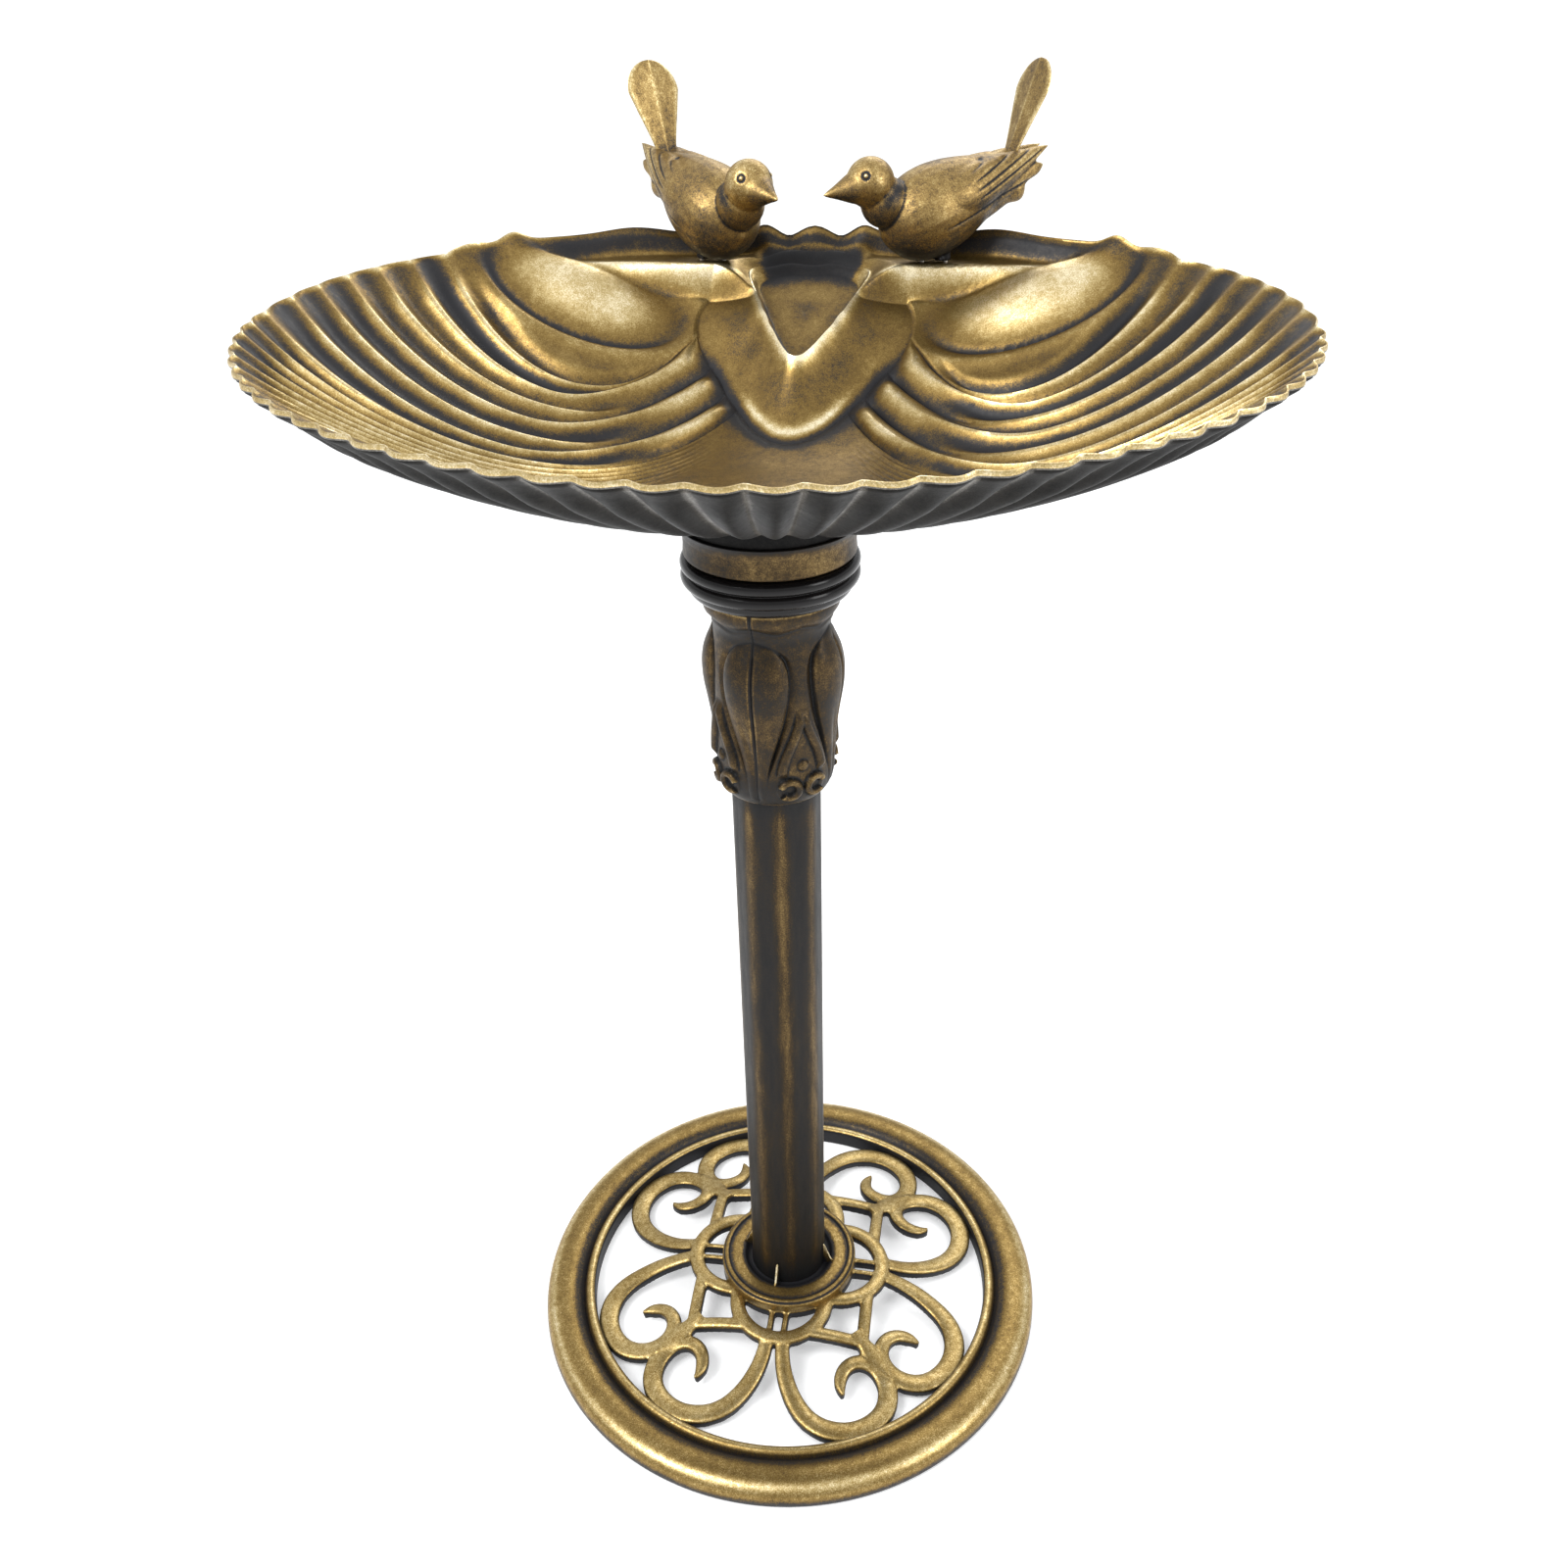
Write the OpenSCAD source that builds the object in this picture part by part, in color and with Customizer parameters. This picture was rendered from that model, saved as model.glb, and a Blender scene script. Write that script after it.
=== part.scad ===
// Pedestal bird bath: a two-winged shell basin with two birds, on a pole over a scrollwork foot.
// Millimetres, +Z up. The origin is the middle of the foot, on the ground. The front faces -Y.

/* [Foot] */
// Outer radius of the foot ring
foot_r = 170; // [155:1:204]
// Height of the foot ring
ring_h = 14.5; // [12:0.5:18]
// Width of the broad rounded band of the foot ring
band_w = 27; // [22:1:32]
// Width of the bead inside the broad band
bead_w = 7; // [5:0.5:9]
// Wall of the hollow ring moulding
ring_wall = 2.6; // [2:0.2:3.2]
// Thickness of the scrollwork
scroll_t = 7; // [5:0.5:8.5]
// Height of the hub in the middle of the scrollwork
hub_h = 24; // [22:1:29]
// Radius of the hub and of the flange on it
hub_r = 46; // [38:1:56]
// Thickness of the foot flange
flange_t = 8; // [7:0.5:10]

/* [Pole] */
// Outer diameter of the pole
pole_d = 50; // [44:1:60]
// Wall of the pole
pole_wall = 2.2; // [1.6:0.2:3]
// Height of the neck's seat above the ground
seat_z = 551; // [460:1:661]
// Turn of the pole's capital and foot ribs about the upright axis
pole_turn = -9; // [-45:1:45]
// Length of the plugs that are pressed into the pole
plug_h = 26; // [18:1:36]

/* [Capital] */
// Height of the capital
capital_h = 115; // [96:1:138]
// Height of the collar ring
collar_h = 21; // [18:1:25]
// How far the collar ring stands out from the pole's side
collar_out = 21.4; // [20:0.2:26]

/* [Basin] */
// Height of the neck cup
neck_h = 17; // [14:1:20]
// Half of the basin's width
basin_a = 252; // [210:1:302]
// Half of the basin's depth, front to back
basin_b = 188; // [157:1:226]
// Depth of the basin's floor below the middle of its rim
basin_depth = 78; // [66:1:93]
// Wall of the basin
basin_wall = 3; // [2.4:0.2:4]
// Rise of the rim from front to back
rim_rise = 20; // [0:1:30]
// Extra height of the rim at its two ends
tip_lift = 6; // [0:0.5:12]
// Number of flutes on each side, from the front to the tip
front_flutes = 18; // [14:1:20]
// Number of flutes on each side, from the tip to the back
side_flutes = 7; // [6:1:10]
// Depth of the flutes
flute_d = 4; // [2:0.5:5]

/* [Birds] */
// Distance of the left bird's legs from the basin's middle plane
left_bird_x = 56; // [50:1:66]
// Distance of the right bird's legs from the basin's middle plane
right_bird_x = 70; // [60:1:80]
// Turn of the left bird towards the front
left_turn = 47; // [30:1:75]
// Turn of the right bird towards the front
right_turn = 31; // [0:1:50]
// Scale of the birds
bird_s = 1; // [0.84:0.02:1.2]
// Distance between a bird's legs
leg_gap = 13; // [12:1:16]
// Length of the tails above the rump
tail_l = 47; // [40:1:56]
// Width of the tails
tail_w = 32; // [26:1:38]

/* [Fits] */
// Radial clearance of a turning fit
run_gap = 0.05; // [0.02:0.01:0.1]
// Radial clearance of a pressed or threaded fit
press_gap = 0.02; // [0.01:0.01:0.05]
// Radial clearance of a screw in its clearance hole
hole_gap = 0.3; // [0.2:0.05:0.5]
// Gap above and below a turning part
end_gap = 0.3; // [0.2:0.05:0.5]

/* [Hidden] */
$fn = 64;

bronze = "#b8914f";
dark_bronze = "#6a5234";
black = "#151414";
steel = "#a9abad";
nylon = "#e6e3da";

flange_z = hub_h;
flange_top = flange_z + flange_t;
socket_z = flange_z + 2.5;
pole_r = pole_d / 2;
pole_bore = pole_r - pole_wall;
capital_top = seat_z - collar_h - end_gap;
capital_z = capital_top - capital_h;
pole_top = capital_top;
head_r = pole_r + 5;
collar_r = pole_r + collar_out;
journal_r = 15;
cup_floor = 5;
cup_r = collar_r - 1.9;
cup_wall = 4.5;
rim_seat = seat_z + neck_h;
floor_z = rim_seat + basin_wall + 12;
rim_z = floor_z + basin_depth;
ledge_z = rim_z + rim_rise / 2 * 0.9 - 10;
inner_r = foot_r - band_w - bead_w;
bolt_r = 4;
flange_screw_r = 2;
flange_screw_at = hub_r - 8;
leg_r = 3.2;
leg_h = 12;
leg_screw_r = 1.5;
leg_screw_h = 9;
leg_y = basin_b - 24;

// Blend from 0 at a to 1 at b
function ramp(a, b, x) = let (u = min(1, max(0, (x - a) / (b - a)))) u * u * (3 - 2 * u);

// ---------------------------------------------------------------- foot

// Cross-section of the ring moulding, drawn at its radius
module ring_section(inset) {
    band_m = foot_r - band_w / 2;
    bead_m = inner_r + bead_w / 2;
    difference() {
        union() {
            intersection() {
                translate([band_m, ring_h - 22])
                    circle(r = 22 - inset, $fn = 96);
                translate([foot_r - band_w, 0])
                    square([band_w - inset, ring_h]);
            }
            translate([inner_r + inset, 0])
                square([bead_w + 2, ring_h - 4.5 - inset]);
            translate([bead_m, ring_h - 4.5])
                circle(r = bead_w / 2 - inset);
        }
        if (inset > 0)
            translate([bead_m - 0.5, ring_h - 5])
                square([bead_w, 8]);
    }
}

module foot_ring() {
    rotate_extrude($fn = 128)
        difference() {
            ring_section(0);
            translate([0, -0.01])
                ring_section(ring_wall);
        }
}

// A scroll is a chain of arcs, each with its radius and its sweep, from the loop to the hooked tip
scroll_arcs = [[61, 42], [31, 100], [22, 85], [13.5, 135], [16, 35]];
scroll_start = [5, 60];
arc_steps = 7;
scroll_width = [[0, 8.5], [1.4, 13], [2.5, 12.5], [3.5, 9.5], [4.4, 7], [5, 2.5]];

function arc_point(p, h, r, s) =
    p + r * [cos(h) - cos(h + s), sin(h + s) - sin(h)];
function arc_start(i) = i == 0 ? scroll_start
    : arc_point(arc_start(i - 1), arc_heading(i - 1), scroll_arcs[i - 1][0], scroll_arcs[i - 1][1]);
function arc_heading(i) = i == 0 ? 0 : arc_heading(i - 1) + scroll_arcs[i - 1][1];
function scroll_side(side) = [
    for (i = [0:len(scroll_arcs) - 1])
        let (p = arc_start(i), h = arc_heading(i), r = scroll_arcs[i][0], s = scroll_arcs[i][1])
            for (j = [0:arc_steps - 1])
                let (u = j / arc_steps, w = lookup(i + u, scroll_width) / 2)
                    arc_point(p, h, r, s * u) + side * w * [cos(h + s * u), -sin(h + s * u)]
];

// The pattern is drawn for a ring of about 136, and scaled until the scrolls run into the ring's wall
scroll_bite = 0.8;
scroll_k = (inner_r + scroll_bite) / max([for (p = scroll_side(-1)) norm(p)]);

module scroll_outline() {
    left_side = scroll_side(-1);
    right_side = scroll_side(1);
    last = len(left_side) - 1;
    scale(scroll_k)
        polygon(concat(left_side, [for (i = [last:-1:0]) right_side[i]]));
}

module junction_outline() {
    bar_w = 8;
    cross = 54;
    scale(scroll_k)
        rotate(45) {
            polygon([[-4, 70], [4, 70], [8, 92], [4, 99], [0, 105], [-4, 99], [-8, 92]]);
            for (side = [-1, 1])
                rotate(side * 45)
                    translate([-side * 2, cross - bar_w / 2])
                        mirror([side > 0 ? 1 : 0, 0])
                            square([cross + 4, bar_w]);
        }
}

// Top of the scrollwork at each radius, a low dome that falls towards the ring
dome = [[0, hub_h], [hub_r + 2, hub_h], [62, 23], [80, 17.5], [100, 12], [120, 8.8], [140, 8.4]];
module dome_section() {
    polygon(concat(
        [for (p = dome) [min(p[0] * scroll_k, inner_r + 1), p[1]]],
        [for (i = [len(dome) - 1:-1:0])
            [min(dome[i][0] * scroll_k, inner_r + 1), dome[i][1] - scroll_t]]));
}

module scroll_pattern() {
    loop_r = 33;
    loop_w = 9.5;
    for (k = [0:3])
        rotate(90 * k) {
            scroll_outline();
            mirror([1, 0])
                scroll_outline();
            junction_outline();
            difference() {
                translate([0, loop_r * scroll_k])
                    circle(r = loop_r * scroll_k, $fn = 64);
                translate([0, loop_r * scroll_k])
                    circle(r = (loop_r - loop_w) * scroll_k, $fn = 64);
            }
            for (side = [-1, 1])
                translate([side * 4.5 - 2, hub_r - 4])
                    square([4, 60 * scroll_k - hub_r + 4]);
        }
}

module base_grille() {
    color(bronze)
        difference() {
            union() {
                foot_ring();
                intersection() {
                    linear_extrude(ring_h + hub_h)
                        scroll_pattern();
                    rotate_extrude($fn = 128)
                        dome_section();
                }
                translate([0, 0, hub_h - scroll_t])
                    cylinder(r = hub_r, h = scroll_t, $fn = 96);
            }
            translate([0, 0, -1])
                cylinder(r = bolt_r + hole_gap, h = hub_h + 2, $fn = 48);
            for (k = [0:3])
                rotate(45 + 90 * k)
                    translate([flange_screw_at, 0, -1])
                        cylinder(r = flange_screw_r + hole_gap, h = hub_h + 2, $fn = 32);
        }
}

module foot_flange() {
    gusset_t = 1.2;
    gusset_h = 14;
    gusset_l = 7;
    color(bronze)
        difference() {
            union() {
                rotate_extrude($fn = 96)
                    polygon([[0, flange_z], [hub_r + 0.3, flange_z], [hub_r + 0.3, flange_top - 2.2],
                        [hub_r - 1.2, flange_top - 1.4], [hub_r - 1.8, flange_top - 0.4],
                        [hub_r - 3, flange_top], [hub_r - 4.4, flange_top], [hub_r - 5, flange_top - 1],
                        [pole_r + 7, flange_top - 1], [pole_r + 4, flange_top - 2.5], [0, flange_top - 2.5]]);
                for (k = [0:3])
                    rotate(pole_turn + 90 * k)
                        translate([pole_r + press_gap, gusset_t / 2, flange_top - 2.6])
                            rotate([90, 0, 0])
                                linear_extrude(gusset_t)
                                    polygon([[0, 0], [gusset_l, 0], [gusset_l - 1.5, 1.6], [0.8, gusset_h],
                                        [0, gusset_h]]);
            }
            translate([0, 0, socket_z])
                cylinder(r = pole_r + press_gap, h = gusset_h + flange_t, $fn = 96);
            translate([0, 0, flange_z - 1])
                cylinder(r = bolt_r + hole_gap, h = flange_t, $fn = 48);
            for (k = [0:3])
                rotate(45 + 90 * k)
                    translate([flange_screw_at, 0, flange_z - 1])
                        cylinder(r = flange_screw_r + press_gap, h = flange_t - 1.5, $fn = 32);
        }
}

// A screw that points up, with the underside of its head at z = 0
module screw(shank_r, shank_h, head_r, head_h) {
    cylinder(r = shank_r, h = shank_h, $fn = 32);
    difference() {
        translate([0, 0, -head_h])
            cylinder(r = head_r, h = head_h, $fn = 48);
        translate([0, 0, -head_h - 0.1])
            cylinder(r = shank_r * 0.8, h = head_h * 0.5, $fn = 6);
    }
}

module flange_screws() {
    color(steel)
        for (k = [0:3])
            rotate(45 + 90 * k)
                translate([flange_screw_at, 0, hub_h - scroll_t])
                    screw(flange_screw_r, scroll_t + flange_t - 3, 4, 2.6);
}

washer_t = 1.6;
module foot_washer() {
    color(steel)
        translate([0, 0, hub_h - scroll_t - washer_t])
            difference() {
                cylinder(r = 11, h = washer_t, $fn = 64);
                translate([0, 0, -1])
                    cylinder(r = bolt_r + hole_gap, h = washer_t + 2, $fn = 48);
            }
}

module foot_bolt() {
    color(steel)
        translate([0, 0, hub_h - scroll_t - washer_t])
            screw(bolt_r, washer_t + scroll_t + socket_z - flange_z + plug_h - 6, 6.5, 5.3);
}

// ---------------------------------------------------------------- pole

module pole_plug() {
    color(black)
        difference() {
            translate([0, 0, socket_z])
                cylinder(r = pole_bore - press_gap, h = plug_h, $fn = 96);
            translate([0, 0, socket_z - 1])
                cylinder(r = bolt_r + press_gap, h = plug_h - 3, $fn = 48);
        }
}

module pole() {
    color(dark_bronze)
        difference() {
            translate([0, 0, socket_z])
                cylinder(r = pole_r, h = pole_top - socket_z, $fn = 96);
            translate([0, 0, socket_z - 1])
                cylinder(r = pole_bore, h = pole_top, $fn = 96);
        }
}

neck_washer_t = 1.5;
neck_screw_r = 3;
journal_top = seat_z + cup_floor + 0.2;
module spigot() {
    color(black)
        difference() {
            union() {
                translate([0, 0, pole_top - plug_h])
                    cylinder(r = pole_bore - press_gap, h = plug_h + 1, $fn = 96);
                translate([0, 0, pole_top])
                    cylinder(r = head_r, h = seat_z - pole_top, $fn = 96);
                translate([0, 0, pole_top])
                    cylinder(r = journal_r, h = journal_top - pole_top, $fn = 96);
            }
            translate([0, 0, journal_top - 20])
                cylinder(r = neck_screw_r + press_gap, h = 30, $fn = 48);
        }
}

// ---------------------------------------------------------------- capital

// Outline of the capital at each share of its height
capital_shape = [[0, 29.5], [0.06, 31], [0.16, 31.6], [0.34, 32.6], [0.46, 34], [0.56, 35], [0.66, 35.2],
    [0.74, 33.6], [0.8, 31.4], [0.86, 31.2], [0.91, 33.4], [0.95, 34], [1, 34]];

// One upturned leaf of revolution, bulging above and narrow below
module capital_leaf() {
    leaf_h = capital_h * 0.66;
    translate([26.5 + pole_r - 25, 0, capital_z + capital_h * 0.1])
        rotate_extrude($fn = 48)
            polygon([[0, 0], [2.2, 0.12 * leaf_h], [4.4, 0.3 * leaf_h], [7.6, 0.52 * leaf_h],
                [10.2, 0.7 * leaf_h], [10.8, 0.8 * leaf_h], [9.6, 0.9 * leaf_h], [5.6, 0.97 * leaf_h],
                [0, leaf_h]]);
}

// A small curl at the foot of a leaf
module capital_curl() {
    translate([29 + pole_r - 25, 0, capital_z + 12])
        rotate([0, 90, 0])
            rotate_extrude($fn = 32)
                translate([3.4, 0])
                    circle(r = 1.9, $fn = 24);
}

module capital() {
    difference() {
        union() {
            rotate_extrude($fn = 96)
                polygon(concat([[0, capital_z]],
                    [for (p = capital_shape) [p[1] + pole_r - 25, capital_z + p[0] * capital_h]],
                    [[0, capital_top]]));
            for (k = [0:3]) {
                rotate(90 * k)
                    capital_leaf();
                for (side = [-1, 1])
                    rotate(90 * k + 45 + side * 12)
                        capital_curl();
            }
        }
        translate([0, 0, capital_z - 20])
            cylinder(r = pole_r + press_gap, h = capital_h + 40, $fn = 96);
        for (z = [capital_z + 0.2 * capital_h, capital_z + 0.88 * capital_h])
            for (side = [-1, 1])
                translate([-dowel_l / 2 - press_gap, side * (pole_r + 3.2), z])
                    rotate([0, 90, 0])
                        cylinder(r = dowel_r + press_gap, h = dowel_l + 2 * press_gap, $fn = 32);
    }
}

dowel_r = 1.5;
dowel_l = 12;
module capital_dowels() {
    color(steel)
        rotate(pole_turn)
            for (z = [capital_z + 0.2 * capital_h, capital_z + 0.88 * capital_h])
                for (side = [-1, 1])
                    translate([-dowel_l / 2, side * (pole_r + 3.2), z])
                        rotate([0, 90, 0])
                            cylinder(r = dowel_r, h = dowel_l, $fn = 32);
}

module capital_half(side) {
    color(dark_bronze)
        rotate(pole_turn)
            intersection() {
                capital();
                translate([side < 0 ? -100 : 0, -100, capital_z - 1])
                    cube([100, 200, capital_h + 2]);
            }
}

module capital_left() {
    capital_half(-1);
}

module capital_right() {
    capital_half(1);
}

// ---------------------------------------------------------------- collar and neck

// The neck's lugs sit in slots of the collar, which turns by collar_turn to let them go
lug_n = 3;
lug_w = 18;
lug_in = head_r + 5;
lug_out = lug_in + 5;
lug_h = 4;
collar_turn = 40;

module collar() {
    color(black)
        translate([0, 0, capital_top])
            difference() {
                rotate_extrude($fn = 96)
                    difference() {
                        union() {
                            polygon([[head_r - 2, 0], [head_r + 3.5, 0], [head_r + 4.5, 1.5],
                                [collar_r - 3, collar_h * 0.34], [collar_r - 3, collar_h],
                                [head_r - 2, collar_h]]);
                            for (z = [collar_h * 0.48, collar_h - 3.6])
                                translate([collar_r - 3.6, z])
                                    circle(r = 3.6);
                        }
                        translate([0, -1])
                            square([head_r + run_gap, collar_h + 2]);
                    }
                for (k = [0:lug_n - 1])
                    rotate(k * 360 / lug_n - collar_turn - 2)
                        translate([0, 0, collar_h - lug_h - end_gap])
                            rotate_extrude(angle = lug_w + collar_turn + 4, $fn = 96)
                                translate([lug_in - end_gap, 0])
                                    square([lug_out - lug_in + 2 * end_gap, lug_h + 2]);
            }
}

module neck_cup() {
    color(bronze)
        difference() {
            union() {
                rotate_extrude($fn = 96)
                    polygon([[journal_r + run_gap, seat_z], [cup_r - 1.5, seat_z], [cup_r, seat_z + 1.5],
                        [cup_r, rim_seat - 3], [collar_r, rim_seat], [cup_r - cup_wall, rim_seat],
                        [cup_r - cup_wall, seat_z + cup_floor], [journal_r + run_gap, seat_z + cup_floor]]);
                for (k = [0:lug_n - 1])
                    rotate(k * 360 / lug_n)
                        translate([0, 0, seat_z - lug_h])
                            rotate_extrude(angle = lug_w, $fn = 96)
                                translate([lug_in, 0])
                                    square([lug_out - lug_in, lug_h + 1]);
            }
        }
}

module neck_washer() {
    color(nylon)
        translate([0, 0, journal_top])
            difference() {
                cylinder(r = journal_r + 6, h = neck_washer_t, $fn = 64);
                translate([0, 0, -1])
                    cylinder(r = neck_screw_r + hole_gap, h = neck_washer_t + 2, $fn = 48);
            }
}

module neck_screw() {
    color(steel)
        translate([0, 0, journal_top + neck_washer_t])
            mirror([0, 0, 1])
                screw(neck_screw_r, neck_washer_t + 16, 5.5, 3.5);
}

// ---------------------------------------------------------------- basin

// The basin is one grid of columns and rows. A column runs from the middle of the bib, over the bib's
// edge, along one flute and up to the rim. The rim angle runs from -90 at the front to 90 at the back.
flute_end = 45;
flute_steps = 4;
back_steps = 14;
flutes = front_flutes + side_flutes;
flute_angle = [[0, -90], [front_flutes, 0], [flutes, flute_end]];
flute_index = [[-90, 0], [0, front_flutes], [flute_end, flutes]];
half_angles = concat(
    [for (i = [0:flutes * flute_steps - 1]) lookup(i / flute_steps, flute_angle)],
    [for (i = [0:back_steps]) flute_end + i * (90 - flute_end) / back_steps]);
half_n = len(half_angles);
columns = concat(
    [for (i = [0:half_n - 1]) [half_angles[i], 1]],
    [for (i = [half_n - 2:-1:1]) [half_angles[i], -1]]);
along = [0.16, 0.34, 0.52, 0.7, 0.86, 1];

// The rim is an oval that is a little squarer at the back
function rim_point(t) =
    let (p = t < 0 ? 1 : 0.87)
        [basin_a * pow(max(0, cos(t)), p), basin_b * sign(t) * pow(abs(sin(t)), p)];

// Where each column crosses the bib's edge, as a direction seen from the middle of the bib
bib_c = [0, basin_b - 48];
bib_turn = [[-90, 0], [-45, 12], [-10, 24], [7, 31.5], [16, 51], [28, 70], [45, 90], [58, 99], [68, 106],
    [76, 116], [82, 132], [90, 180]];
bib_edge = [[0, 83], [25, 70], [45, 60], [70, 60], [90, 63], [99, 60], [106, 50], [118, 43], [140, 40],
    [180, 37]];
lip_edge = [[0, 38], [45, 29], [90, 31], [115, 35], [140, 35], [180, 31]];
function spoke(a, r) = bib_c + r * [sin(a), -cos(a)];

// The bend of each flute on its way to the rim, as the middle point of a quadratic curve
bend_x = [[-90, 0], [-45, 60], [-10, 115], [7, 126], [28, 128.5], [45, 115], [58, 105], [68, 85], [76, 60],
    [82, 34], [90, 0]];
bend_y = [[-90, -65], [-45, -75], [-10, -85], [7, -60], [16, -23.5], [28, 16], [45, 45], [58, 110],
    [68, 158], [76, 180], [82, 180], [90, 182]];
function flute_point(t, u) =
    let (h = spoke(lookup(t, bib_turn), lookup(lookup(t, bib_turn), bib_edge)),
        k = [lookup(t, bend_x) * basin_a / 252, lookup(t, bend_y) * basin_b / 188],
        e = rim_point(t))
        (1 - u) * (1 - u) * h + 2 * u * (1 - u) * k + u * u * e;

function rim_share(p) =
    let (n = p[1] < 0 ? 2 : 2.3)
        pow(pow(abs(p[0]) / basin_a, n) + pow(abs(p[1]) / basin_b, n), 1 / n);
function rim_height(p) =
    rim_z + rim_rise / 2 * p[1] / basin_b + tip_lift * pow(p[0] / basin_a, 2);
function dish(p) =
    floor_z + (rim_height(p) - floor_z) * pow(max(0, (rim_share(p) - 0.15) / 0.85), 1.8);

// Soft pads behind the flutes, and the flat ledge for the birds
pad_c = [125, basin_b - 50];
function pad(p) =
    let (d = pow((p[0] - pad_c[0]) / 55, 2) + pow((p[1] - pad_c[1]) / 24, 2))
        d < 1 ? 9 * pow(1 - d, 2) : 0;
function on_ledge(p, t) = ramp(basin_b - 38, basin_b - 31, p[1]) * ramp(52, 62, t)
    * (1 - ramp(0.955, 0.985, rim_share(p)));
function flute(t) =
    t >= flute_end ? 0 : let (q = lookup(t, flute_index) + 1e-6) -sin(180 * (q - floor(q)));
function flute_depth(p) = flute_d * ramp(45, 115, norm(p));

function basin_top(t, u) =
    let (p = flute_point(t, u), ledge = on_ledge(p, t),
        z = dish(p) + flute(t) * flute_depth(p) * (u > 0.9 ? 0.8 : 1) + pad(p))
        [p[0], p[1], z * (1 - ledge) + ledge_z * ledge];

// Rows inside the bib: its raised lip and the pocket behind the lip
lip_h = 7;
pocket_slope = 0.5;
function bib_row(t, row) =
    let (a = lookup(t, bib_turn), lip = lookup(a, lip_edge), edge = lookup(a, bib_edge),
        p = spoke(a, row == 1 ? 0.86 * lip : row == 2 ? lip : edge),
        pocket = floor_z + 32 + pocket_slope * (p[1] - bib_c[1] + 40))
        row == 1 ? [p[0], p[1], pocket]
        : row == 2 ? [p[0], p[1], max(pocket + 2, dish(p) + lip_h * (1 - ramp(100, 150, a)))]
        : [p[0], p[1], dish(p) + (ledge_z - dish(p)) * on_ledge(p, t)];

bib_middle = [bib_c[0], bib_c[1], floor_z + 32 + pocket_slope * 40];
function mirrored(p, side) = [p[0] * side, p[1], p[2]];
grid_rows = concat(
    [for (row = [1:3]) [for (c = columns) mirrored(bib_row(c[0], row), c[1])]],
    [for (u = along) [for (c = columns) mirrored(basin_top(c[0], u), c[1])]]);
row_n = len(grid_rows);
col_n = len(columns);
top_points = concat([bib_middle], [for (r = grid_rows) each r]);
under_points = [for (p = top_points) [p[0], p[1], p[2] - basin_wall]];
shell_n = len(top_points);
function at(r, c) = 1 + r * col_n + c % col_n;
top_faces = concat(
    [for (c = [0:col_n - 1]) [0, at(0, c + 1), at(0, c)]],
    [for (r = [0:row_n - 2], c = [0:col_n - 1]) each [
        [at(r, c), at(r, c + 1), at(r + 1, c + 1)],
        [at(r, c), at(r + 1, c + 1), at(r + 1, c)]]]);
under_faces = [for (f = top_faces) [f[0] + shell_n, f[2] + shell_n, f[1] + shell_n]];
edge_faces = [for (c = [0:col_n - 1]) let (a = at(row_n - 1, c), b = at(row_n - 1, c + 1)) each [
    [a, b, b + shell_n],
    [a, b + shell_n, a + shell_n]]];

// Each leg stands on a round seat on the ledge. The boss under it is counterbored for the washer.
seat_r = 6.2;
boss_h = 9;
leg_seat_z = ledge_z + 0.5;
leg_under_z = ledge_z - basin_wall - 1;
leg_washer_r = 4.6;
module each_leg(birds = [-left_bird_x, right_bird_x]) {
    for (x = birds)
        for (leg = [-1, 1])
            translate([x + leg * leg_gap / 2, leg_y, 0])
                children();
}

module basin() {
    plug_r = cup_r - cup_wall - run_gap;
    color(bronze)
        difference() {
            union() {
                polyhedron(points = concat(top_points, under_points),
                    faces = concat(top_faces, under_faces, edge_faces), convexity = 10);
                translate([0, 0, rim_seat])
                    cylinder(r = cup_r, h = floor_z - rim_seat - 0.5, $fn = 96);
                translate([0, 0, rim_seat - 9])
                    cylinder(r = plug_r, h = 10, $fn = 96);
                each_leg()
                    translate([0, 0, leg_seat_z - boss_h - basin_wall])
                        cylinder(r = seat_r, h = boss_h + basin_wall, $fn = 32);
            }
            translate([0, 0, rim_seat - 10])
                cylinder(r = plug_r - 4, h = floor_z - basin_wall - rim_seat + 10, $fn = 96);
            each_leg() {
                translate([0, 0, leg_under_z - 1])
                    cylinder(r = leg_screw_r + hole_gap, h = leg_seat_z - leg_under_z + 2, $fn = 24);
                translate([0, 0, leg_under_z - boss_h])
                    cylinder(r = leg_washer_r + hole_gap, h = boss_h, $fn = 32);
            }
        }
}

leg_washer_t = 1.2;
module leg_washers() {
    color(black)
        each_leg()
            translate([0, 0, leg_under_z - leg_washer_t])
                difference() {
                    cylinder(r = leg_washer_r, h = leg_washer_t, $fn = 48);
                    translate([0, 0, -1])
                        cylinder(r = leg_screw_r + hole_gap, h = leg_washer_t + 2, $fn = 24);
                }
}

module leg_screws() {
    color(steel)
        each_leg()
            translate([0, 0, leg_under_z - leg_washer_t])
                screw(leg_screw_r, leg_washer_t + leg_seat_z - leg_under_z + leg_screw_h - 1, 3, 2.2);
}

// ---------------------------------------------------------------- birds

// The bird faces -X, with its legs' middle at the origin
body_tilt = 21;
tail_tilt = 20;
tail_t = 3.5;
tang_w = 14;
tang_h = 9;
tail_root = [43, 0, 46];

// A body of revolution from a to the right and up, given as [along, radius] pairs
module spindle(a, tilt, swing, shape) {
    translate(a)
        rotate([0, 0, swing])
            rotate([0, 90 - tilt, 0])
                rotate_extrude($fn = 64)
                    polygon([for (p = shape) [p[1], p[0]]]);
}

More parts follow.
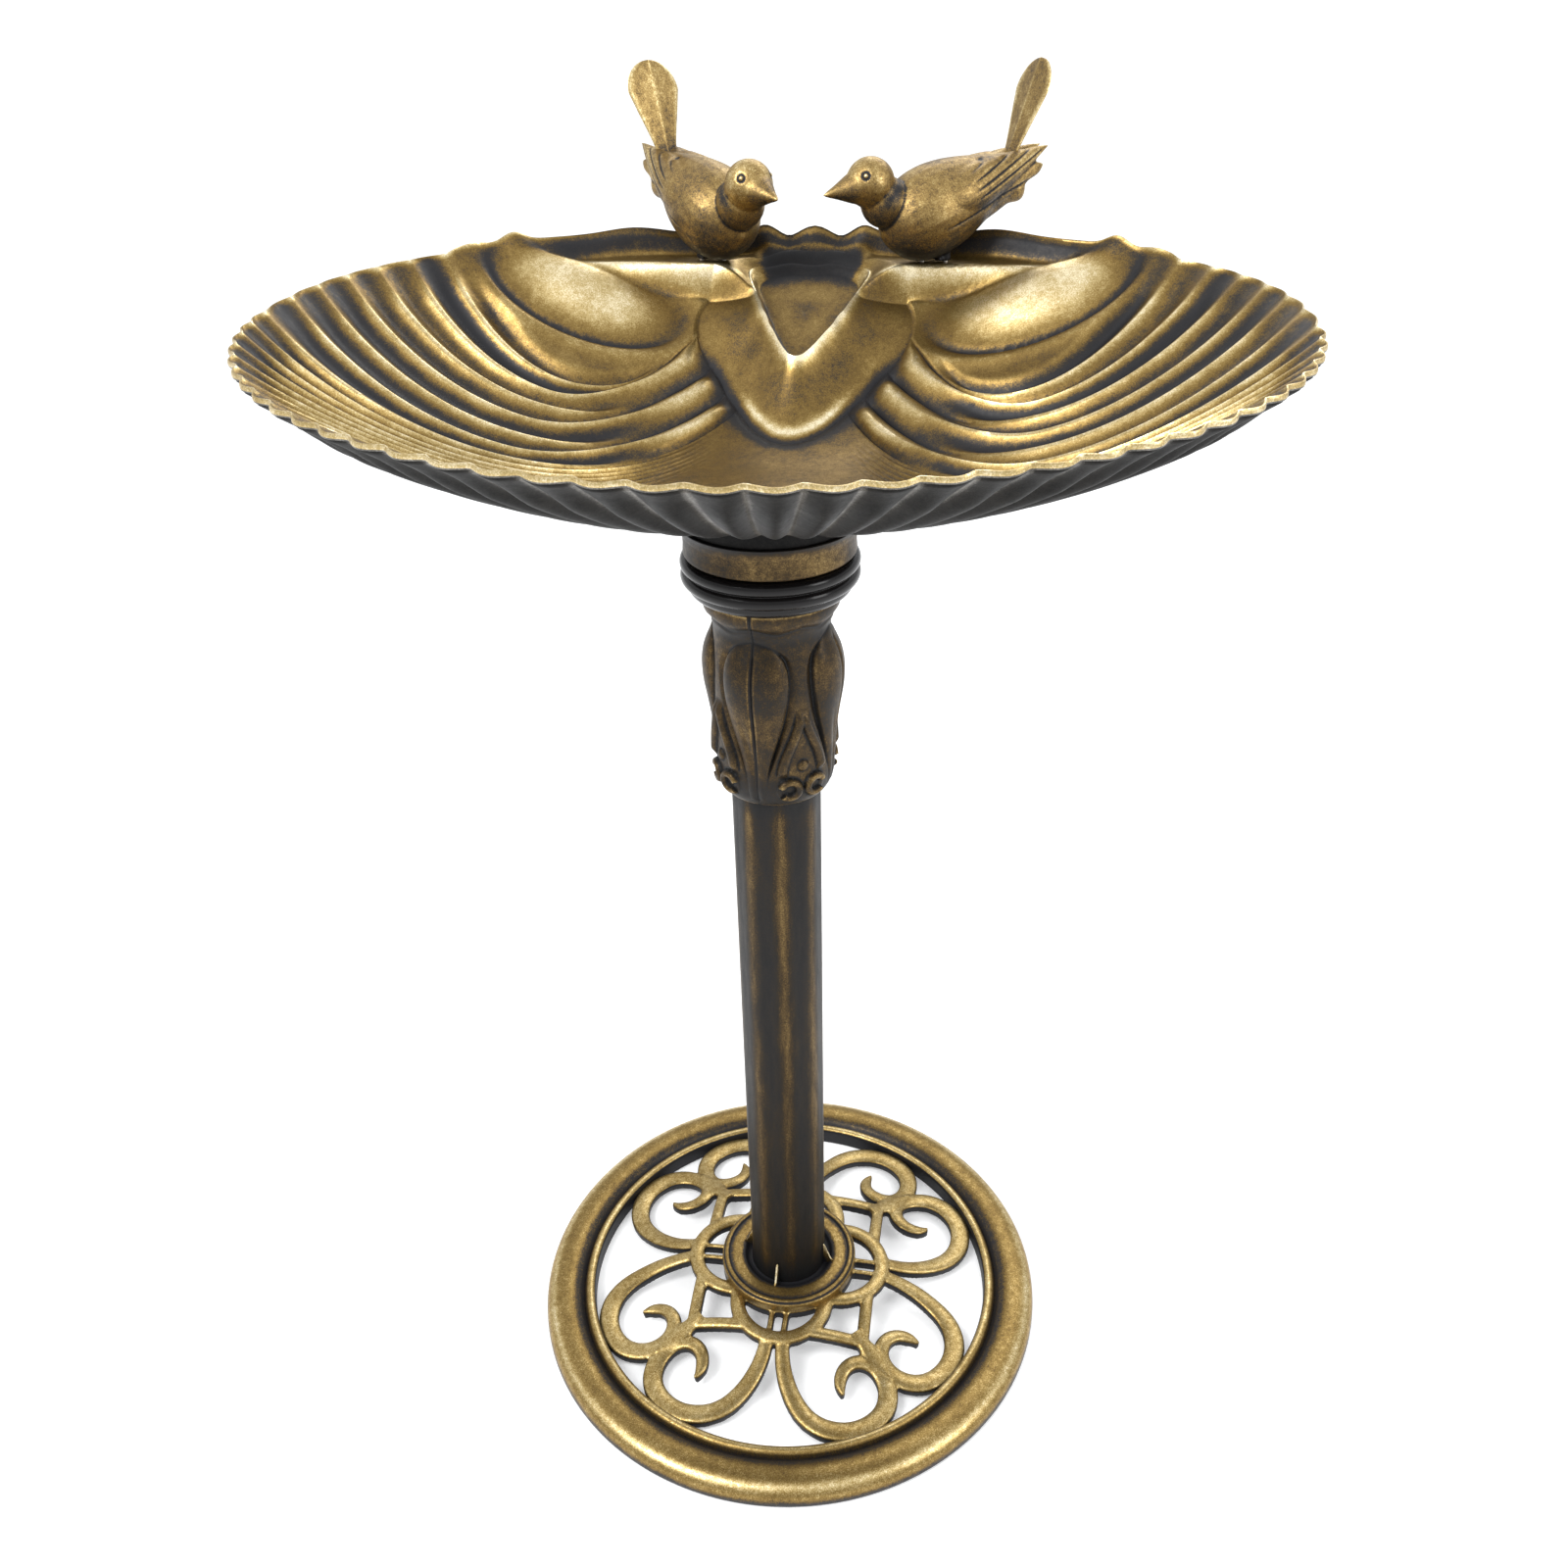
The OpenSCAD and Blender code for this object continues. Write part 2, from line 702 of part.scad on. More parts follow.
module bird_form() {
    spindle([-33, 0, 15], body_tilt, 0, [[0, 0], [2, 6], [6, 13], [13, 19.5], [22, 23], [33, 24], [46, 22.2],
        [60, 17.8], [74, 12], [88, 6.5], [100, 0]]);
    for (side = [-1, 1])
        spindle([-17, side * 11.5, 25], 20, -side * 5, [[0, 0], [4, 6.5], [12, 11.5], [24, 14], [38, 13.2],
            [54, 10], [72, 5.5], [90, 0]]);
    translate([-31, 0, 33])
        sphere(r = 13.5, $fn = 48);
    translate([-40, 0, 43.5])
        sphere(r = 13.2, $fn = 48);
    translate([-46, 0, 42])
        rotate([0, -98, 0])
            cylinder(r1 = 9.5, r2 = 0.5, h = 22, $fn = 32);
}

// Puts a bird's own parts at its legs; a bird that faces right is the mirror image of one that faces left
module at_bird(x, turn) {
    translate([x, leg_y, leg_seat_z])
        scale(bird_s)
            mirror([x < 0 ? 1 : 0, 0, 0])
                rotate(turn)
                    children();
}

module bird(x, turn) {
    color(bronze)
        difference() {
            union() {
                at_bird(x, turn)
                    bird_form();
                each_leg([x])
                    translate([0, 0, leg_seat_z])
                        cylinder(r = leg_r, h = leg_h, $fn = 32);
            }
            at_bird(x, turn)
                translate(tail_root)
                    rotate([0, tail_tilt, 0])
                        translate([-tail_t / 2 - press_gap, -tang_w / 2 - press_gap, -press_gap])
                            cube([tail_t + 2 * press_gap, tang_w + 2 * press_gap, 30]);
            each_leg([x])
                translate([0, 0, leg_seat_z - 1])
                    cylinder(r = leg_screw_r + press_gap, h = leg_screw_h + 1, $fn = 24);
        }
}

// A paddle blade: straight tang, then a widening blade with a round end
module tail(x, turn) {
    blade_r = tail_w / 2;
    top = tang_h + tail_l;
    color(bronze)
        at_bird(x, turn)
            translate(tail_root)
                rotate([0, tail_tilt, 0])
                    translate([tail_t / 2, 0, 0])
                        rotate([0, -90, 0])
                            linear_extrude(tail_t) {
                                translate([0, -tang_w / 2])
                                    square([tang_h + 2, tang_w]);
                                polygon([[tang_h, -tang_w / 2], [top - blade_r, -blade_r],
                                    [top - blade_r, blade_r], [tang_h, tang_w / 2]]);
                                translate([top - blade_r, 0])
                                    circle(r = blade_r, $fn = 64);
                            }
}

module bird_left() {
    bird(-left_bird_x, left_turn);
}

module bird_right() {
    bird(right_bird_x, right_turn);
}

module tail_left() {
    tail(-left_bird_x, left_turn);
}

module tail_right() {
    tail(right_bird_x, right_turn);
}

base_grille();
foot_flange();
flange_screws();
foot_bolt();
foot_washer();
pole_plug();
pole();
spigot();
capital_left();
capital_right();
capital_dowels();
collar();
neck_cup();
neck_washer();
neck_screw();
basin();
bird_left();
bird_right();
tail_left();
tail_right();
leg_screws();
leg_washers();
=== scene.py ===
"""Looks of the pedestal bird bath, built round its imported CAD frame.

Lengths are millimetres until a mesh is made, and places come from the CAD nodes' boxes.
"""

import math

import bmesh
import bpy
import numpy as np
from mathutils import Matrix, Vector


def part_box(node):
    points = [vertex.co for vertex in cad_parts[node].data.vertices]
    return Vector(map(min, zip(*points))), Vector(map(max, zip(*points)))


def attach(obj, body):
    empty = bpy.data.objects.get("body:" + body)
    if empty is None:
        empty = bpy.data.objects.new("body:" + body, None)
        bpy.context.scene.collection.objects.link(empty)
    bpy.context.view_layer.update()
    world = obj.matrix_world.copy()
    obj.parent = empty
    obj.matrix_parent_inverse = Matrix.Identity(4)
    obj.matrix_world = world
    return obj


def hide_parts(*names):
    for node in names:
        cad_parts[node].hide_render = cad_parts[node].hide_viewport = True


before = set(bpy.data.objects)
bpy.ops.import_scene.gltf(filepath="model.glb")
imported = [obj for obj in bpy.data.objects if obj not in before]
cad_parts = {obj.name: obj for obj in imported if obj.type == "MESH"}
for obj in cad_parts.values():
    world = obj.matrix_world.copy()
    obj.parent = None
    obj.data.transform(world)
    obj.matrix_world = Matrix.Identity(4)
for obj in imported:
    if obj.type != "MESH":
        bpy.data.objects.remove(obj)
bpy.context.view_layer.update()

MM = 0.001
TAU = 2 * math.pi
QUARTER = TAU / 4
SIDES = (-1, 1)
CLEARANCE = 0.05


# ---- sizes from the frame

def corners(node):
    """Lowest and highest corner of a CAD node, in millimetres."""
    low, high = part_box(node)
    return np.array(low) / MM, np.array(high) / MM


foot_high = corners("base_grille")[1]
foot_r = foot_high[0]
hub_h = foot_high[2]
flange_lap = 0.3
hub_r = corners("foot_flange")[1][0] - flange_lap
bolt_hole_r = 4.3
pole_low, pole_high = corners("pole")
pole_r = pole_high[0]
capital_low, capital_high = corners("capital_left")
capital_z = capital_low[2]
capital_h = capital_high[2] - capital_z
collar_low, collar_high = corners("collar")
collar_r = collar_high[0]
lug_h = 4
cup_low, cup_high = corners("neck_cup")
seat_z = cup_low[2] + lug_h
rim_seat = cup_high[2]
cup_r = collar_r - 1.9
cup_wall = 4.5
basin_low, basin_high = corners("basin")
basin_a = basin_high[0]
basin_b = -basin_low[1]
basin_wall = 3
floor_z = rim_seat + basin_wall + 12
rim_rise = 20
rim_z = basin_high[2] - rim_rise / 2
tip_lift = 6
leg_seat_z = corners("bird_left")[0][2]
ledge_z = leg_seat_z - 0.5
leg_box = corners("leg_screws")
leg_y = (leg_box[0][1] + leg_box[1][1]) / 2
leg_gap = 13
leg_head_r = 3
left_bird_x = leg_box[0][0] + leg_head_r + leg_gap / 2
right_bird_x = leg_box[1][0] - leg_head_r - leg_gap / 2
pole_turn = math.radians(-9)


# ---- curves

def ramp(a, b, x):
    """Blend from 0 at a to 1 at b."""
    u = np.clip((x - a) / (b - a), 0, 1)
    return u * u * (3 - 2 * u)


def smooth(pairs, x):
    """A smooth curve through (x, y) pairs."""
    xs, ys = np.array(pairs, float).T
    slope = np.gradient(ys, xs)
    i = np.clip(np.searchsorted(xs, x, side="right") - 1, 0, len(xs) - 2)
    h = xs[i + 1] - xs[i]
    u = np.clip((x - xs[i]) / h, 0, 1)
    start = (2 * u ** 3 - 3 * u ** 2 + 1) * ys[i] + (u ** 3 - 2 * u ** 2 + u) * h * slope[i]
    end = (3 * u ** 2 - 2 * u ** 3) * ys[i + 1] + (u ** 3 - u ** 2) * h * slope[i + 1]
    return start + end


def bump(x, middle, width):
    return np.exp(-((x - middle) / width) ** 2)


def arc(x, z, rx, rz, start, end, n=16):
    """Points on an ellipse from one angle to another, in degrees."""
    a = np.radians(np.linspace(start, end, n))
    return np.stack([x + rx * np.cos(a), z + rz * np.sin(a)], 1)


def rounded(outline, radius, steps=5):
    """A closed outline with round corners."""
    pts = np.array(outline, float)
    out = []
    for i, p in enumerate(pts):
        ends = []
        for q in (pts[i - 1], pts[(i + 1) % len(pts)]):
            gap = np.linalg.norm(q - p)
            ends.append(p + (q - p) * min(radius / gap, 0.45))
        for u in np.linspace(0, 1, steps):
            out.append((1 - u) ** 2 * ends[0] + 2 * u * (1 - u) * p + u * u * ends[1])
    return np.array(out)


# ---- meshes

def grid_faces(rows, cols, looped=False):
    """Faces of a grid whose last column joins its first; looped joins its last row to its first too."""
    r = np.arange(rows if looped else rows - 1)[:, None]
    c = np.arange(cols)[None]
    up = (r + 1) % rows
    on = (c + 1) % cols
    faces = np.stack([r * cols + c, r * cols + on, up * cols + on, up * cols + c], -1)
    return faces.reshape(-1, 4).tolist()


def end_faces(rows, cols):
    """The two faces that close the first and the last row of a grid."""
    return [list(range(cols)), list(range((rows - 1) * cols, rows * cols))]


def joined(shells):
    """One list of points and one of faces from several."""
    points, faces, start = [], [], 0
    for p, f in shells:
        p = np.asarray(p, float).reshape(-1, 3)
        points.append(p)
        faces += [[i + start for i in face] for face in f]
        start += len(p)
    return np.concatenate(points), faces


def face_outwards(mesh, weld=False):
    bm = bmesh.new()
    bm.from_mesh(mesh)
    if weld:
        bmesh.ops.remove_doubles(bm, verts=bm.verts, dist=1e-6)
    bmesh.ops.recalc_face_normals(bm, faces=bm.faces)
    bm.to_mesh(mesh)
    bm.free()


def linked(name, data):
    obj = bpy.data.objects.new(name, data)
    bpy.context.scene.collection.objects.link(obj)
    return obj


def new_object(name, shells):
    points, faces = joined(shells)
    mesh = bpy.data.meshes.new(name)
    mesh.from_pydata((points * MM).tolist(), [], faces)
    face_outwards(mesh)
    return linked(name, mesh)


def bake_modifiers(obj):
    graph = bpy.context.evaluated_depsgraph_get()
    mesh = bpy.data.meshes.new_from_object(obj.evaluated_get(graph))
    obj.modifiers.clear()
    obj.data = mesh


def fuse(obj, voxel, passes):
    """Joins the overlapping shells of a piece into one skin and softens where they meet."""
    remesh = obj.modifiers.new("fuse", "REMESH")
    remesh.mode = "VOXEL"
    remesh.voxel_size = voxel * MM
    soften = obj.modifiers.new("soften", "SMOOTH")
    soften.factor = 0.5
    soften.iterations = passes
    bake_modifiers(obj)


def vertex_values(obj, what):
    values = np.empty(len(obj.data.vertices) * 3)
    obj.data.vertices.foreach_get(what, values)
    return values.reshape(-1, 3)


def coords(obj):
    return vertex_values(obj, "co") / MM


def normals(obj):
    return vertex_values(obj, "normal")


def set_coords(obj, points):
    obj.data.vertices.foreach_set("co", (points * MM).ravel())
    obj.data.update()


def relief(obj, passes):
    """How deep each point lies below its neighbourhood, in millimetres; hollows are positive."""
    points, count = coords(obj), len(obj.data.vertices)
    ends = np.empty(len(obj.data.edges) * 2, np.int32)
    obj.data.edges.foreach_get("vertices", ends)
    a, b = ends.reshape(-1, 2).T
    degree = np.maximum(np.bincount(ends, minlength=count), 1)[:, None]
    around = points.copy()
    for _ in range(passes):
        total = np.stack([np.bincount(a, around[b, k], count) + np.bincount(b, around[a, k], count)
                          for k in range(3)], 1)
        around = 0.5 * around + 0.5 * total / degree
    return ((around - points) * normals(obj)).sum(1)


def set_patina(obj, values):
    """The rub and wear of each point together with its painted highlights and painted shade, from about -1,
    bright, to 1, black.
    """
    data = obj.data.attributes.new("patina_and_light", "FLOAT", "POINT")
    data.data.foreach_set("value", np.asarray(values, np.float32).ravel())


def finish_piece(obj, body, slot, materials, *nodes, sharp=38):
    """Shades a piece, gives it its materials, hangs it on its body and hides its CAD nodes; the slot is not
    used.
    """
    mesh = obj.data
    mesh.polygons.foreach_set("use_smooth", [True] * len(mesh.polygons))
    mesh.set_sharp_from_angle(angle=math.radians(sharp))
    for material in materials:
        mesh.materials.append(material)
    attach(obj, body)
    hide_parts(*nodes)


def revolve(outline, steps=192, radius_at=None):
    """A closed (radius, height) outline turned about the upright axis."""
    outline = np.asarray(outline, float)
    a = np.arange(steps) / steps * TAU
    r = np.repeat(outline[:, :1], steps, 1)
    z = np.repeat(outline[:, 1:], steps, 1)
    if radius_at:
        r = radius_at(r, z, a[None])
    points = np.stack([r * np.cos(a), r * np.sin(a), z], -1)
    return points, grid_faces(len(outline), steps, looped=True)


ROUND = arc(0, 0, 1, 1, 0, 360, 25)[:-1]


def sweep(path, wide, high, section=ROUND, closed=False):
    """A section carried along a path. wide and high are its half sizes at each point."""
    path = np.asarray(path, float)
    n = len(path)
    if closed:
        tangent = np.roll(path, -1, 0) - np.roll(path, 1, 0)
    else:
        tangent = np.gradient(path, axis=0)
    tangent /= np.linalg.norm(tangent, axis=1)[:, None]
    side = np.cross(tangent, [0, 0, 1])
    side /= np.linalg.norm(side, axis=1)[:, None]
    up = np.cross(side, tangent)
    wide = np.broadcast_to(np.asarray(wide, float), n)[:, None, None]
    high = np.broadcast_to(np.asarray(high, float), n)[:, None, None]
    section = np.asarray(section, float)
    points = (path[:, None] + side[:, None] * wide * section[None, :, :1]
              + up[:, None] * high * section[None, :, 1:])
    faces = grid_faces(n, len(section), looped=closed)
    if not closed:
        faces += end_faces(n, len(section))
    return points, faces


# ---- materials

class Nodes:
    """A small helper for writing node trees."""

    def __init__(self, name):
        self.material = bpy.data.materials.new(name)
        self.material.use_nodes = True
        self.tree = self.material.node_tree
        self.shader = self.tree.nodes["Principled BSDF"]

    def add(self, kind, settings=None, **inputs):
        node = self.tree.nodes.new(kind)
        for key, value in (settings or {}).items():
            setattr(node, key, value)
        for key, value in inputs.items():
            self.put(node, key.replace("_", " "), value)
        return node

    def put(self, node, key, value):
        socket = node.inputs[int(key)] if key.isdigit() else node.inputs[key]
        if isinstance(value, bpy.types.NodeSocket):
            self.tree.links.new(value, socket)
        else:
            socket.default_value = value

    def math(self, operation, *values):
        node = self.add("ShaderNodeMath", {"operation": operation})
        for key, value in enumerate(values):
            self.put(node, str(key), value)
        return node.outputs[0]

    def noise(self, vector, scale, detail=3.0, rough=0.55):
        node = self.add("ShaderNodeTexNoise", Vector=vector, Scale=scale, Detail=detail, Roughness=rough)
        return node.outputs["Fac"]

    def ramp(self, value, stops):
        node = self.add("ShaderNodeValToRGB", Fac=value)
        elements = node.color_ramp.elements
        while len(elements) < len(stops):
            elements.new(0.5)
        for element, (place, colour) in zip(elements, stops):
            element.position = place
            colour = colour if isinstance(colour, tuple) else (colour,) * 3
            element.color = (*colour, 1)
        return node.outputs["Color"]

    def to(self, **inputs):
        for key, value in inputs.items():
            self.put(self.shader, key.replace("_", " "), value)

    def bump(self, height, strength, distance):
        node = self.add("ShaderNodeBump", Height=height, Strength=strength, Distance=distance)
        self.to(Normal=node.outputs["Normal"])


def patinated(name, colours, metal, rough, cloud, speckle, grain=0.4, stretch=(1, 1, 1), shine=0.3):
    """Rubbed bronze paint with painted highlights and painted shade, whose ramps run along the mesh's patina
    value, laid from -1...1 on 0...1.

    cloud, grain and speckle are how far coarse, middling and fine noise shift it.
    """
    n = Nodes(name)
    place = n.add("ShaderNodeTexCoord").outputs["Object"]
    long = n.add("ShaderNodeMapping", Vector=place, Scale=stretch).outputs["Vector"]
    patina_and_light = n.add("ShaderNodeAttribute", {"attribute_name": "patina_and_light"}).outputs["Fac"]
    clouds = n.noise(long, 45.0, 4.0, 0.6)
    streaks = n.noise(long, 320.0, 3.0, 0.65)
    fine = n.noise(place, 1500.0, 2.0, 0.6)
    value = n.math("MULTIPLY_ADD", patina_and_light, 0.5, 0.5)
    for source, amount in ((clouds, cloud), (streaks, grain), (fine, speckle)):
        value = n.math("ADD", value, n.math("MULTIPLY", n.math("SUBTRACT", source, 0.5), amount))
    n.to(Base_Color=n.ramp(value, colours), Metallic=n.ramp(value, metal), Specular_IOR_Level=shine)
    n.to(Roughness=n.math("ADD", n.ramp(value, rough), n.math("MULTIPLY", streaks, 0.12)))
    n.bump(n.math("ADD", n.math("MULTIPLY", streaks, 0.6), n.math("MULTIPLY", fine, 0.4)), 0.35, 0.00025)
    return n.material


# The cream end of these ramps is a painted highlight; the gold and brown middle is the rubbed paint, and the
# black end holds both patina and painted shade.
BRONZE_COLOURS = [(0.0, (0.93, 0.82, 0.57)), (0.20, (0.52, 0.395, 0.180)), (0.38, (0.265, 0.178, 0.058)),
                  (0.54, (0.165, 0.103, 0.032)), (0.66, (0.070, 0.050, 0.026)),
                  (0.78, (0.020, 0.018, 0.018)), (1.0, (0.010, 0.010, 0.012))]
# The birds' ramp is a lighter copy of the bronze ramp: painted light for the light the birds catch on top.
LIT_BIRD_COLOURS = [(0.0, (1.0, 0.90, 0.68)), (0.20, (0.70, 0.56, 0.29)), (0.38, (0.375, 0.262, 0.10)),
                (0.54, (0.235, 0.152, 0.055)), (0.66, (0.10, 0.072, 0.04)),
                (0.78, (0.024, 0.022, 0.021)), (1.0, (0.010, 0.010, 0.012))]
DARK_COLOURS = [(0.0, (0.36, 0.26, 0.115)), (0.25, (0.15, 0.098, 0.038)), (0.42, (0.064, 0.041, 0.018)),
                (0.60, (0.020, 0.015, 0.010)), (0.80, (0.007, 0.006, 0.006)), (1.0, (0.005, 0.005, 0.005))]
# The underside's ramp is a darker copy of the bronze ramp: painted shade, running up to grey at its light end
# for the crests.
SHADED_UNDER_COLOURS = [(0.0, (0.26, 0.245, 0.22)), (0.25, (0.10, 0.093, 0.082)), (0.5, (0.020, 0.018, 0.016)),
                 (1.0, (0.005, 0.005, 0.005))]
BRONZE_METAL = [(0.0, 0.9), (0.54, 0.88), (0.7, 0.55), (0.85, 0.25), (1.0, 0.2)]
DARK_METAL = [(0.0, 0.85), (0.5, 0.7), (0.75, 0.2), (1.0, 0.15)]
UNDER_METAL = [(0.0, 0.9), (0.3, 0.4), (0.5, 0.1), (1.0, 0.05)]
BRONZE_ROUGH = [(0.0, 0.26), (0.5, 0.33), (0.8, 0.40), (1.0, 0.46)]
BIRD_ROUGH = [(0.0, 0.32), (0.5, 0.40), (0.8, 0.46), (1.0, 0.50)]
DARK_ROUGH = [(0.0, 0.32), (0.6, 0.40), (1.0, 0.48)]
TUBE_ROUGH = [(0.0, 0.34), (0.6, 0.42), (1.0, 0.5)]
UNDER_ROUGH = [(0.0, 0.32), (0.6, 0.42), (1.0, 0.5)]

bronze = patinated("bronze", BRONZE_COLOURS, BRONZE_METAL, BRONZE_ROUGH, 0.4, 0.5, grain=0.3)
bronze_foot = patinated("bronze_foot", BRONZE_COLOURS, BRONZE_METAL, BRONZE_ROUGH, 0.3, 0.75, grain=0.35)
lit_bronze_bird = patinated("lit_bronze_bird", LIT_BIRD_COLOURS, BRONZE_METAL, BIRD_ROUGH, 0.55, 0.7, grain=0.45)
dark_bronze = patinated("dark_bronze", DARK_COLOURS, DARK_METAL, DARK_ROUGH, 0.7, 0.6)
dark_tube = patinated("dark_bronze_tube", DARK_COLOURS, DARK_METAL, TUBE_ROUGH, 0.7, 0.7,
                      stretch=(1, 1, 0.16), shine=0.25)
shaded_under_bronze = patinated("shaded_under_bronze", SHADED_UNDER_COLOURS, UNDER_METAL, UNDER_ROUGH, 0.5, 0.6,
                         grain=0.25, shine=0.1)


def plain(name, colour, rough, metal=0.0, coat=0.0, spread=0.12, shine=0.5):
    """Moulded, plated or lacquered material with a fine uneven surface."""
    n = Nodes(name)
    place = n.add("ShaderNodeTexCoord").outputs["Object"]
    fine = n.noise(place, 900.0, 4.0, 0.6)
    broad = n.noise(place, 75.0, 3.0, 0.5)
    dark = tuple(c * 0.72 for c in colour)
    n.to(Base_Color=n.ramp(broad, [(0.3, dark), (0.7, colour)]), Metallic=metal, Coat_Weight=coat)
    n.to(Coat_Roughness=0.06, Specular_IOR_Level=shine)
    n.to(Roughness=n.math("ADD", n.math("MULTIPLY", fine, spread), rough - spread / 2))
    n.bump(fine, 0.3, 0.0001)
    return n.material


black_gloss = plain("black_gloss", (0.006, 0.005, 0.005), 0.22, coat=0.1, spread=0.06, shine=0.2)
black_plastic = plain("black_plastic", (0.02, 0.02, 0.02), 0.5)
rubber = plain("rubber", (0.02, 0.02, 0.02), 0.75)
nylon = plain("nylon", (0.80, 0.78, 0.73), 0.45)
steel = plain("steel", (0.55, 0.55, 0.56), 0.32, metal=1.0)


# ---- foot

ring_w = 34
ring_h = 14.5
inner_r = foot_r - ring_w


def foot_ring():
    bead = arc(inner_r + 3.5, 10, 3.5, 3.5, 180, 8, 18)
    band = arc(foot_r - 13.3, 0, 13.3, 1, 148, 0, 34)
    band[:, 1] = 2 + (ring_h - 2) * np.abs(band[:, 1]) ** 0.62
    under = [[foot_r - 0.8, 0.4], [foot_r - 2, 0], [foot_r - 4.5, 0], [foot_r - 5, 5], [foot_r - 13, 11],
             [foot_r - 23, 6.5], [inner_r + 3, 6.5], [inner_r + 2.6, 0], [inner_r + 0.6, 0],
             [inner_r, 0.6]]
    outline = np.concatenate([bead, [[inner_r + 7.5, 8.7]], band, under])
    obj = new_object("foot_ring", [revolve(outline, 320)])
    p = coords(obj)
    depth = foot_r - np.hypot(p[:, 0], p[:, 1])
    # A painted highlight on the band's outer third, painted shade low on its outer side and on the hidden
    # inner wall and underside, and a lighter bead; the groove by the bead and the band's inner edge darken
    # with patina.
    patina_and_light = -0.12 - 0.45 * bump(depth, 5, 2.5) + 0.9 * bump(depth, 25.5, 1.6) + 0.6 * bump(depth, 22, 2.6)
    patina_and_light += 0.9 * ramp(8, 2, p[:, 2]) * ramp(6, 1, depth) - 0.4 * bump(depth, 31, 1.8)
    hidden = (depth > ring_w - 0.8) | (p[:, 2] < 0.5)
    set_patina(obj, np.where(hidden, 1.1, patina_and_light))
    finish_piece(obj, "stand", "bronze", [bronze_foot], "base_grille")


# A scroll is a chain of arcs, each with its radius and its sweep
SCROLL_ARCS = [(61, 42), (31, 100), (22, 85), (13.5, 135), (16, 35)]
SCROLL_START = np.array([5.0, 60.0])
SCROLL_WIDTH = [(0, 8.5), (1.4, 13), (2.5, 12.5), (3.5, 9.5), (4.4, 7), (5, 2.5)]
DOME = [(0, hub_h + 0.4), (40, hub_h + 0.4), (62, 23.2), (80, 17.5), (100, 12), (120, 9.2), (150, 8.8)]
SCROLL_T = 7.2
HALF_ROUND = np.concatenate([arc(0, -0.30, 1, 0.30, 0, 180, 13), [[-0.94, -1.0], [0.94, -1.0]]])


def scroll_line(steps=18):
    """The scroll's middle line and its width at each point, before scaling."""
    points, widths = [], []
    start, heading = SCROLL_START, 0.0
    for i, (r, swing) in enumerate(SCROLL_ARCS):
        h0 = math.radians(heading)
        last = i == len(SCROLL_ARCS) - 1
        for j in range(steps + 1):
            h = math.radians(heading + swing * j / steps)
            p = start + r * np.array([math.cos(h0) - math.cos(h), math.sin(h) - math.sin(h0)])
            if j < steps or last:
                points.append(p)
                widths.append(np.interp(i + j / steps, *np.array(SCROLL_WIDTH).T))
        start = p
        heading += swing
    return np.array(points), np.array(widths)


def scroll_reach(points, widths):
    """Furthest distance of the scroll's outer side from the middle."""
    t = np.gradient(points, axis=0)
    t /= np.linalg.norm(t, axis=1)[:, None]
    outer = points + np.stack([-t[:, 1], t[:, 0]], 1) * widths[:, None] / 2
    return np.linalg.norm(outer, axis=1).max()


def turned(points, angle):
    c, s = math.cos(angle), math.sin(angle)
    return points @ np.array([[c, s], [-s, c]])


def foot_scrollwork():
    line, widths = scroll_line()
    k = (inner_r + 0.8) / scroll_reach(line, widths)

    def bar(plan, width, closed=False, rise=0.0):
        plan = np.asarray(plan, float) * k
        top = smooth(DOME, np.linalg.norm(plan, axis=1) / k) + rise
        path = np.column_stack([plan, top])
        return sweep(path, np.asarray(width) * k / 2, SCROLL_T, HALF_ROUND, closed)

    loop = arc(0, 33, 28.25, 28.25, 0, 360, 73)[:-1]
    spear = np.column_stack([np.zeros(15), np.linspace(70, 105, 15)])
    spear_w = np.interp(spear[:, 1], [70, 78, 91, 98, 105], [9, 9, 15, 10, 1.5])
    cross = np.column_stack([np.linspace(21, 57, 12), np.full(12, 54.0)])
    rib = np.array([[4.5, 42], [4.5, 50], [4.5, 60]])
    shells = []
    for quarter in range(4):
        a = quarter * QUARTER
        for mirror in ([1, 1], [-1, 1]):
            shells.append(bar(turned(line * mirror, a), widths))
            shells.append(bar(turned(cross * mirror, a), 8))
            shells.append(bar(turned(rib * mirror, a), 4, rise=-1.2))
        shells.append(bar(turned(loop, a), 9.5, closed=True, rise=0.5))
        shells.append(bar(turned(spear, a - QUARTER / 2), spear_w, rise=0.8))
    hub = [[bolt_hole_r, hub_h - SCROLL_T], [hub_r, hub_h - SCROLL_T], [hub_r, hub_h - 0.2],
           [bolt_hole_r, hub_h - 0.2]]
    shells.append(revolve(rounded(hub, 0.8), 160))
    obj = new_object("foot_scrollwork", shells)
    fuse(obj, 0.85, 5)
    p = coords(obj)
    r = np.hypot(p[:, 0], p[:, 1])
    depth = smooth(DOME, r / k) - p[:, 2]
    facing = normals(obj)[:, 2]
    # Painted shade: darker the further a point lies below the dome's top and the more it faces sideways;
    # hollows darken further with patina.
    patina_and_light = -0.35 + 1.35 * ramp(1.4, 3.4, depth) + 0.55 * ramp(0.75, 0.1, facing)
    patina_and_light += 0.8 * ramp(0.05, 0.5, relief(obj, 30))
    set_patina(obj, patina_and_light)
    finish_piece(obj, "stand", "bronze", [bronze_foot], "base_grille", sharp=80)


